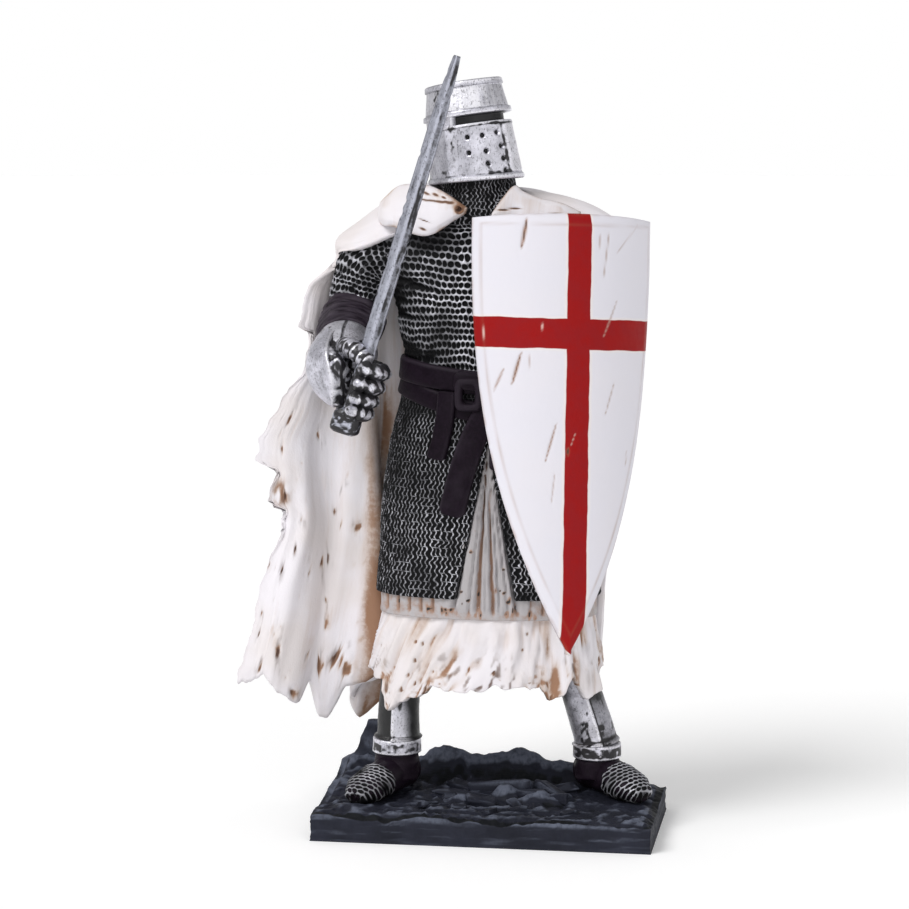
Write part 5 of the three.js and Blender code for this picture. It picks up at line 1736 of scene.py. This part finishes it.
def bent_board():
    bevel = settings().shield.bevel / MM
    s = even(108)[None]
    t = even(195)[:, None]
    _, board = shield_point(s, t)
    x, z = board[..., 0], board[..., 1]
    edge = np.minimum(x - x[:, :1], x[:, -1:] - x)
    edge = np.minimum(edge, SHIELD_HEIGHT * SHIELD_ABOVE - z)
    chamfer = 0.85 * (1 - clamp(edge / bevel)) + 0.3 * (1 - ease(edge, 0, 0.5))
    cut, wash, bare = np.zeros_like(x), np.zeros_like(x), np.zeros_like(x)
    for x0, z0, x1, z1, half, depth, dark in SCRATCHES:
        run = np.array([x1 - x0, z1 - z0])
        k = clamp(((x - x0) * run[0] + (z - z0) * run[1]) / (run @ run))
        gap = np.hypot(x - x0 - k * run[0], z - z0 - k * run[1])
        groove = crease(gap, half * (0.35 + 0.5 * np.sin(k * math.pi)))
        cut = np.maximum(cut, depth * groove)
        wash = np.maximum(wash, dark * groove)
        bare = np.maximum(bare, (1 - min(dark, 1)) * groove)
    uneven = 0.08 * rough(board, 9.0, 131)
    out = SHIELD_THICKNESS / 2 - chamfer - cut + uneven
    front = shield_point(s, t, out)[0]
    back = shield_point(s, t, -SHIELD_THICKNESS / 2)[0]
    rim = ease(-edge, -0.9, 0.2) * (0.25 + 0.5 * noise(board, 2.0, 132))
    bevel_line = 0.45 * crease(edge - bevel, 0.35)
    stain_and_shade = clamp(np.maximum(wash * 1.2, rim + bevel_line * (0.5 + 0.5 * noise(board, 5.0, 133))))
    marks = {"stain_and_shade": (stain_and_shade, 0.3), "tone": (clamp(1.2 * wash - 0.4), 0.0), "wear_and_highlight": bare}
    board[..., 2] = 1.0
    shells = Shells().slab(front, back, marks, board)
    shells.maps[-1][x.size :, 2] = 0.0  # no cross on the back
    shells.build("bent_shield", "shield_paint", "shield")


def arm_straps():
    shells = Shells()
    for height in (0.2, 0.33):
        s = np.linspace(0.26, 0.74, 60)[:, None]
        section = full_turn(18)[None]
        over, out = power(np.sin(section), 0.6), power(np.cos(section), 0.6)
        t = height + over * 0.016
        bow = 0.9 * np.sin((s - 0.26) / 0.48 * math.pi)
        points, _ = shield_point(s, t, -SHIELD_THICKNESS / 2 - 0.35 - bow + out * 0.45)
        shells.stack(points, {"wear_and_highlight": 0.3})
    shells.build("shield_straps", "leather_paint", "shield")


class KNIGHT_OT_shield(bpy.types.Operator):
    """Sculpts the bent shield with its chamfered rim, scratches and arm straps"""

    bl_idname = "knight.shield"
    bl_label = "Shield"

    def execute(self, context):
        bent_board()
        arm_straps()
        return {"FINISHED"}


def nicked_sword():
    shells = Shells()
    lift = even(180)[:, None]
    width = np.interp(lift, [0, 0.5, 0.8, 0.94, 1], [0.95, 0.9, 0.84, 0.62, 0.4]) * BLADE_WIDTH / 2
    turn = full_turn(32)[None]
    c, s = np.cos(turn), np.sin(turn)
    diamond = 1 / (np.abs(c) + np.abs(s))
    nicks = 0.16 * mottled(flat(lift * BLADE, np.sign(c) * 9), 1.6, 141, 0.15, 0.9) * np.abs(c) ** 6
    u = c * diamond * (width - nicks * 2)
    v = s * diamond * (BLADE_THICKNESS / 2) * np.minimum(1, width / 1.2)
    place_up = GRIP / 2 - 1 + lift * (BLADE + 1)
    points = sword_point(u, v, place_up)
    points = (
        points
        + 0.05 * rough(points, 1.5, 142)[..., None] * unit(points - FIST - SWORD_LINE * place_up[..., None])
    )
    # Painted shade on the blade's right face and a painted highlight on its left face.
    right = ease(c, 0.02, 0.12)
    ridge = crease(np.abs(s) - 1, 0.05) + 0.6 * crease(np.abs(c) - 1, 0.04)
    streaks = noise(flat(u * 2.2, v * 2.2, place_up * 0.35), 1.0, 143)
    recess = 0.14 + 0.34 * right + 0.4 * ease(streaks, -0.1, 0.7) - 0.4 * ridge
    dull = 0.22 * ease(-streaks, 0.0, 0.6) + 0.14 * (1 - ease(place_up, 50, 100))
    wear_and_highlight = 0.9 * ridge + 0.2 * (1 - right) * (0.7 - streaks)
    steel(shells, points, recess, wear_and_highlight, dull * (1 - ridge))
    hilt(shells)
    shells.build("nicked_sword", "steel_paint", "sword", blade_look)


def hilt(shells):
    """The grip in the fist and the square-cut pommel below it."""
    low = -GRIP / 2
    profile = [
        [low - POMMEL, 2.4, 2.2],
        [low - POMMEL + 0.5, 3.3, 2.9],
        [low - POMMEL + 1.2, 3.5, 3.1],
        [low - 1.6, 3.4, 3.0],
        [low - 0.7, 2.9, 2.6],
        [low, 1.75, 1.75],
        [GRIP / 2 + 0.6, 1.7, 1.7],
    ]
    height = np.unique(
        np.concatenate([np.linspace(low - POMMEL, low, 34), np.linspace(low, GRIP / 2 + 0.6, 20)])
    )
    wide, deep = [
        np.interp(height, [r[0] for r in profile], [r[k] for r in profile])[:, None] for k in (1, 2)
    ]
    turn = full_turn(60)[None]
    squared = 0.62
    u, v = power(np.cos(turn), squared) * wide, power(np.sin(turn), squared) * deep
    points = sword_point(u, v, height[:, None])
    pitted = rough(points, 0.8, 144)
    bumps = 0.22 * pitted * ease(-height[:, None], -low - 0.2, -low + 0.6)
    points = points + unit(points - FIST - SWORD_LINE * height[:, None, None]) * bumps[..., None]
    steel(shells, points, 0.95 - 1.5 * pitted, ease(pitted, 0.1, 0.5), 0.4 * ease(-pitted, 0.1, 0.4))


class KNIGHT_OT_sword(bpy.types.Operator):
    """Sculpts the nicked blade, the grip and the pommel"""

    bl_idname = "knight.sword"
    bl_label = "Sword"

    def execute(self, context):
        nicked_sword()
        return {"FINISHED"}


# Plinth


class KNIGHT_OT_plinth(bpy.types.Operator):
    """Sculpts the slab, its broken ground, the loose stones and the rock under the cloak"""

    bl_idname = "knight.plinth"
    bl_label = "Plinth"

    COLUMNS, ROWS, RISE = 190, 102, 12

    def execute(self, context):
        low, high = [np.array(c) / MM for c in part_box("plinth")]
        self.half = (high - low)[:2] / 2
        plinth = settings().plinth
        self.thickness, self.relief = plinth.thickness / MM, plinth.relief / MM
        shells = Shells()
        self.slab(shells)
        self.stones(shells)
        self.rock(shells)
        shells.build("slate_plinth", "slate_paint", "plinth")
        return {"FINISHED"}

    def ground(self, x, y):
        px, py = x / self.half[0], y / self.half[1]
        ridge = 1.6 * blob(px, py, -0.32, 0.93, 0.34, 0.18) + 1.45 * blob(px, py, 0.13, 0.93, 0.2, 0.16)
        shelf = 0.85 * blob(px, py, 0.44, 0.93, 0.15, 0.15)
        bank = 1.2 * blob(px, py, -0.9, 0.91, 0.2, 0.36) + 0.35 * blob(px, py, -0.93, 0.18, 0.12, 0.32)
        heap = 0.55 * blob(px, py, -0.15, -0.14, 0.08, 0.1) + 0.8 * blob(px, py, 0.07, 0.14, 0.07, 0.11)
        wedge = 0.5 * blob(px, py, 0.27, -0.09, 0.15, 0.1)
        hollow = 0.45 * blob(px, py, 0, -0.05, 0.22, 0.23)
        rim = ease(1 - np.maximum(np.abs(px), np.abs(py)), 0, 0.1)
        return self.thickness + self.relief * (ridge + shelf + bank + (heap + wedge - hollow) * rim)

    def slab(self, shells):
        x = np.linspace(-1, 1, self.COLUMNS + 1)[None] * self.half[0]
        y = np.linspace(-1, 1, self.ROWS + 1)[:, None] * self.half[1]
        spread = flat(x, y)
        warped = spread + 1.8 * flat(noise(spread, 5.0, 149), noise(spread, 5.0, 150))
        craggy = (
            3.4 * (flaky(warped, 9.0, 151) - 0.5) + 0.8 * ridges(warped, 4.6, 152)
            + 0.7 * ridges(spread, 1.9, 158) + 0.5 * rough(spread, 1.4, 153)
        )
        calm = 1 - 0.8 * (blob(x, y, -28, -2, 7, 13) + blob(x, y, 29, 6, 9, 11))
        edge = np.minimum(self.half[0] - np.abs(x), self.half[1] - np.abs(y))
        chips = 2.0 * ease(rough(spread * (1, 0.3, 1), 8.0, 154), -0.2, 0.6) * (1 - ease(edge, 0.0, 3.0))
        top_z = (
            self.ground(x, y) + np.clip(calm, 0.2, 1) * 0.8 * craggy * mix(0.35, 1, ease(edge, 0, 3))
            - chips
        )
        top_z = np.maximum(top_z, self.thickness - 2.2)
        around = sum(np.roll(top_z, (i, j), (0, 1)) for i in (-5, 0, 5) for j in (-5, 0, 5)) / 9
        top = flat(x, y, top_z)
        share = even(self.RISE + 1)[:, None, None]
        lines = (top[0], top[-1][::-1], top[::-1, 0], top[:, -1])
        sides = [mix(line * (1, 1, 0), line, share) for line in lines]
        points, faces = shells.patches_and_hem_shade([top, *sides, flat(x, y)])
        inward = self.half - np.abs(points[:, :2])
        side = 1 - ease(np.min(inward, 1), 0, 0.02)
        upright = side * ease(points[:, 2], 0, 0.6)
        strokes = (
            noise(points * (0.12, 0.12, 1.6), 1.0, 155) + 0.5 * noise(points * (0.25, 0.25, 2.6), 1.0, 156)
        )
        outward = np.zeros_like(points)
        outward[:, :2] = np.sign(points[:, :2]) * (inward < 0.01)
        points = points - outward * (upright * (0.2 + 0.14 * strokes))[:, None]
        shares = (points[:, :2] / self.half + 1) / 2
        column, line = np.rint(shares * (self.COLUMNS, self.ROWS)).astype(int).T
        prominent = (top_z - around)[line, column]
        relief = 0.22 + 1.3 * prominent + 0.25 * noise(points, 2.4, 157)
        below_edge = crease(points[:, 2] - self.thickness + 0.3, 0.8)
        wear_and_highlight = np.where(side > 0.5, 0.3 + 0.35 * strokes + 0.45 * below_edge, relief)
        stain_and_shade = ease(-prominent, 0.05, 0.7) * (1 - side)
        shells.add(points, faces, {"wear_and_highlight": clamp(wear_and_highlight), "stain_and_shade": stain_and_shade})

    def stone(self, shells, x, y, size, turn, seed, sink=0.4):
        """A broken stone: a rounded box, roughened and half sunk."""
        lat = np.linspace(-math.pi / 2, math.pi / 2, 15)[1:-1, None]
        lon = full_turn(24)[None]
        level = power(np.cos(lat), 0.22)
        ball = flat(
            level * power(np.cos(lon), 0.22), level * power(np.sin(lon), 0.22), power(np.sin(lat), 0.3)
        )
        ball = ball * (1 + 0.26 * noise(ball * 3, 2.0, seed) + 0.1 * ridges(ball, 0.7, seed))[..., None]
        ball = turned(turned(ball * size / 2, 1, 9 * math.sin(3 * seed)), 0, 16 * math.sin(seed))
        ball = turned(ball, 2, turn)
        base = float(self.ground(np.array(x), np.array(y))) + size[2] * (0.5 - sink)
        points = ball + (x, y, base)
        wear_and_highlight = (
            0.1 + 0.6 * ease(points[..., 2] - base, 0.0, 0.5 * size[2])
            * ease(ridges(points, 1.6, 159), -0.1, 0.7)
        )
        shells.stack(points, {"wear_and_highlight": clamp(wear_and_highlight), "stain_and_shade": ease(base - points[..., 2], 0, 0.4 * size[2])})

    def stones(self, shells):
        # x, y, length, width, height, turn
        for seed, (x, y, long, wide, high, turn) in enumerate([
            (-3.6, 1.6, 21.5, 5.0, 2.2, -16), (1.5, 8.5, 15, 6.0, 4.2, -10),
            (15.2, 2.8, 15, 3.0, 3.6, -50), (9.5, 3.0, 8, 4.0, 3.4, -30), (-2.2, -4.7, 6.5, 4.6, 3.6, 12),
            (-10.0, -1.9, 3.6, 2.6, 2.0, 10), (6.5, -5.5, 5.0, 2.6, 2.2, -60),
            (17.5, -2.0, 5.0, 3.0, 2.6, -35), (-14.5, -9.0, 4.2, 2.6, 1.5, 50),
            (8.0, -10.5, 4.4, 2.4, 1.6, 15), (-9.0, 9.5, 6.5, 3.4, 2.4, -30),
            (16.5, 8.0, 7.0, 3.6, 2.6, 25), (-6.5, -11.5, 3.4, 2.4, 1.5, 0),
            (20.5, -12.5, 4.0, 2.6, 1.5, 35), (1.5, -13.5, 4.2, 2.2, 1.4, 70),
        ]):
            self.stone(shells, x, y, np.array([long, wide, high], float), turn, 160 + seed)

    def rock(self, shells):
        carried = cloak_point(np.array(ROCK_UNDER), np.array(1.0))
        share = even(40)[:, None]
        turn = full_turn(60)[None]
        rugged = 1 + 0.16 * np.sin(3 * turn + 5 * share)
        radius = 5.2 * (1.5 - 1.2 * share**0.55) * rugged
        inside = np.array([self.half[0] - radius, self.half[1] - radius * 0.62])
        x = np.clip(carried[0] + mix(1.2, 5.2, share), -inside[0], inside[0]) + radius * np.cos(turn)
        y = np.clip(carried[1], -inside[1], inside[1]) + radius * 0.62 * np.sin(turn)
        z = mix(self.thickness / 2, carried[2] - 0.3, share) + 0 * turn
        points = flat(x, y, z)
        craggy = 0.7 * ridges(points, 3.2, 181) + 0.35 * noise(points, 1.4, 182)
        middle = flat(np.mean(x, 1, keepdims=True), np.mean(y, 1, keepdims=True), z)
        points = points + unit((points - middle) * (1, 1, 0)) * craggy[..., None] * 0.6
        points[..., :2] = np.clip(points[..., :2], -self.half, self.half)
        shells.stack(points, {"wear_and_highlight": clamp(0.4 + 0.4 * craggy)})


# Stage


class KNIGHT_OT_stage(bpy.types.Operator):
    """Sets the plain floor, the soft lights and the camera at the photograph's angle"""

    bl_idname = "knight.stage"
    bl_label = "Stage"

    TARGET = Vector((-0.0092, 0.0, 0.0912))
    DISTANCE, AZIMUTH, ELEVATION = 0.7236, 8.8, 7.6
    LENS = 118.8

    def execute(self, context):
        stage = settings().stage
        self.floor(stage.floor)
        self.camera()
        self.light("key", (-0.75, -0.85, 1.25), 30, stage.key)
        self.light("fill", (0.5, -1.2, 0.6), 60, stage.fill)
        self.surround(stage.sky)
        context.scene.view_settings.view_transform = "Standard"
        return {"FINISHED"}

    def floor(self, colour):
        paint = Paint("floor_paint", Roughness=0.9, Emission_Color=(1, 1, 1, 1), Emission_Strength=0.1)
        cloud = paint.noise(paint.spot(), 0.01, 2.0, 0.5)
        paint.coat(Base_Color=paint.blend(cloud * 0.05, colour, (0.9, 0.9, 0.9)))
        mesh = bpy.data.meshes.new("floor")
        turn = full_turn(96)
        rim = flat(4.0 * np.cos(turn), 4.0 * np.sin(turn))
        mesh.from_pydata(rim.tolist(), [], [range(len(rim))])
        mesh.materials.append(paint.material)
        placed("floor", mesh)

    def aimed(self, name, data, where, toward):
        made = placed(name, data)
        made.location = where
        made.rotation_mode = "QUATERNION"
        made.rotation_quaternion = toward.to_track_quat("-Z", "Y")
        return made

    def camera(self):
        data = bpy.data.cameras.new("camera")
        data.lens, data.sensor_width, data.clip_start = self.LENS, 36, 0.01
        a, e = math.radians(self.AZIMUTH), math.radians(self.ELEVATION)
        back = Vector((math.sin(a) * math.cos(e), -math.cos(a) * math.cos(e), math.sin(e)))
        bpy.context.scene.camera = self.aimed("camera", data, self.TARGET + back * self.DISTANCE, -back)

    def light(self, name, where, degrees, strength):
        """A far soft light, as wide as some degrees of the sky."""
        data = bpy.data.lights.new(name, "SUN")
        data.angle, data.energy = math.radians(degrees), strength
        self.aimed(name, data, where, -Vector(where))

    def surround(self, strength):
        """White round the horizon and dimmer overhead."""
        world = bpy.data.worlds.new("surround")
        bpy.context.scene.world = world
        world.use_nodes = True
        world.node_tree.nodes.clear()
        g = Graph(world.node_tree)
        up = g.parts(g.node("TexCoord", {}, "Generated"))[2]
        level = g.ramp(up, 0.04, 0.35, 1.0, 0.45)
        g.made(
            "OutputWorld", {0: g.node("Background", {"Color": (1, 1, 1, 1), "Strength": level * strength})}
        )


class KNIGHT_PT_sidebar(bpy.types.Panel):
    """Lists the statuette's pieces and their settings"""

    bl_idname = "KNIGHT_PT_sidebar"
    bl_label = "Knight Statuette"
    bl_space_type = "VIEW_3D"
    bl_region_type = "UI"
    bl_category = "Knight"

    def draw(self, context):
        layout = self.layout
        for operator in OPERATORS:
            layout.operator(operator.bl_idname)
        statuette = context.scene.knight_statuette
        for group in statuette.bl_rna.properties:
            if group.type == "POINTER" and group.identifier != "rna_type":
                box = layout.box()
                box.label(text=group.identifier.capitalize())
                values = getattr(statuette, group.identifier)
                for name in type(values).__annotations__:
                    box.prop(values, name)


GROUPS = (
    ClothSettings, MailSettings, SteelSettings, LeatherSettings, ShieldSettings, PlinthSettings,
    StageSettings, StatuetteSettings,
)
OPERATORS = (
    KNIGHT_OT_stage, KNIGHT_OT_plinth, KNIGHT_OT_coats, KNIGHT_OT_mail, KNIGHT_OT_cloak, KNIGHT_OT_helm,
    KNIGHT_OT_hands, KNIGHT_OT_legs, KNIGHT_OT_belts, KNIGHT_OT_shield, KNIGHT_OT_sword,
)


def register():
    for made in (*GROUPS, *OPERATORS, KNIGHT_PT_sidebar):
        bpy.utils.register_class(made)
    bpy.types.Scene.knight_statuette = PointerProperty(type=StatuetteSettings)


def unregister():
    del bpy.types.Scene.knight_statuette
    for made in reversed((*GROUPS, *OPERATORS, KNIGHT_PT_sidebar)):
        bpy.utils.unregister_class(made)


def main():
    register()
    for operator in OPERATORS:
        family, name = operator.bl_idname.split(".")
        getattr(getattr(bpy.ops, family), name)()


if __name__ == "__main__":
    main()
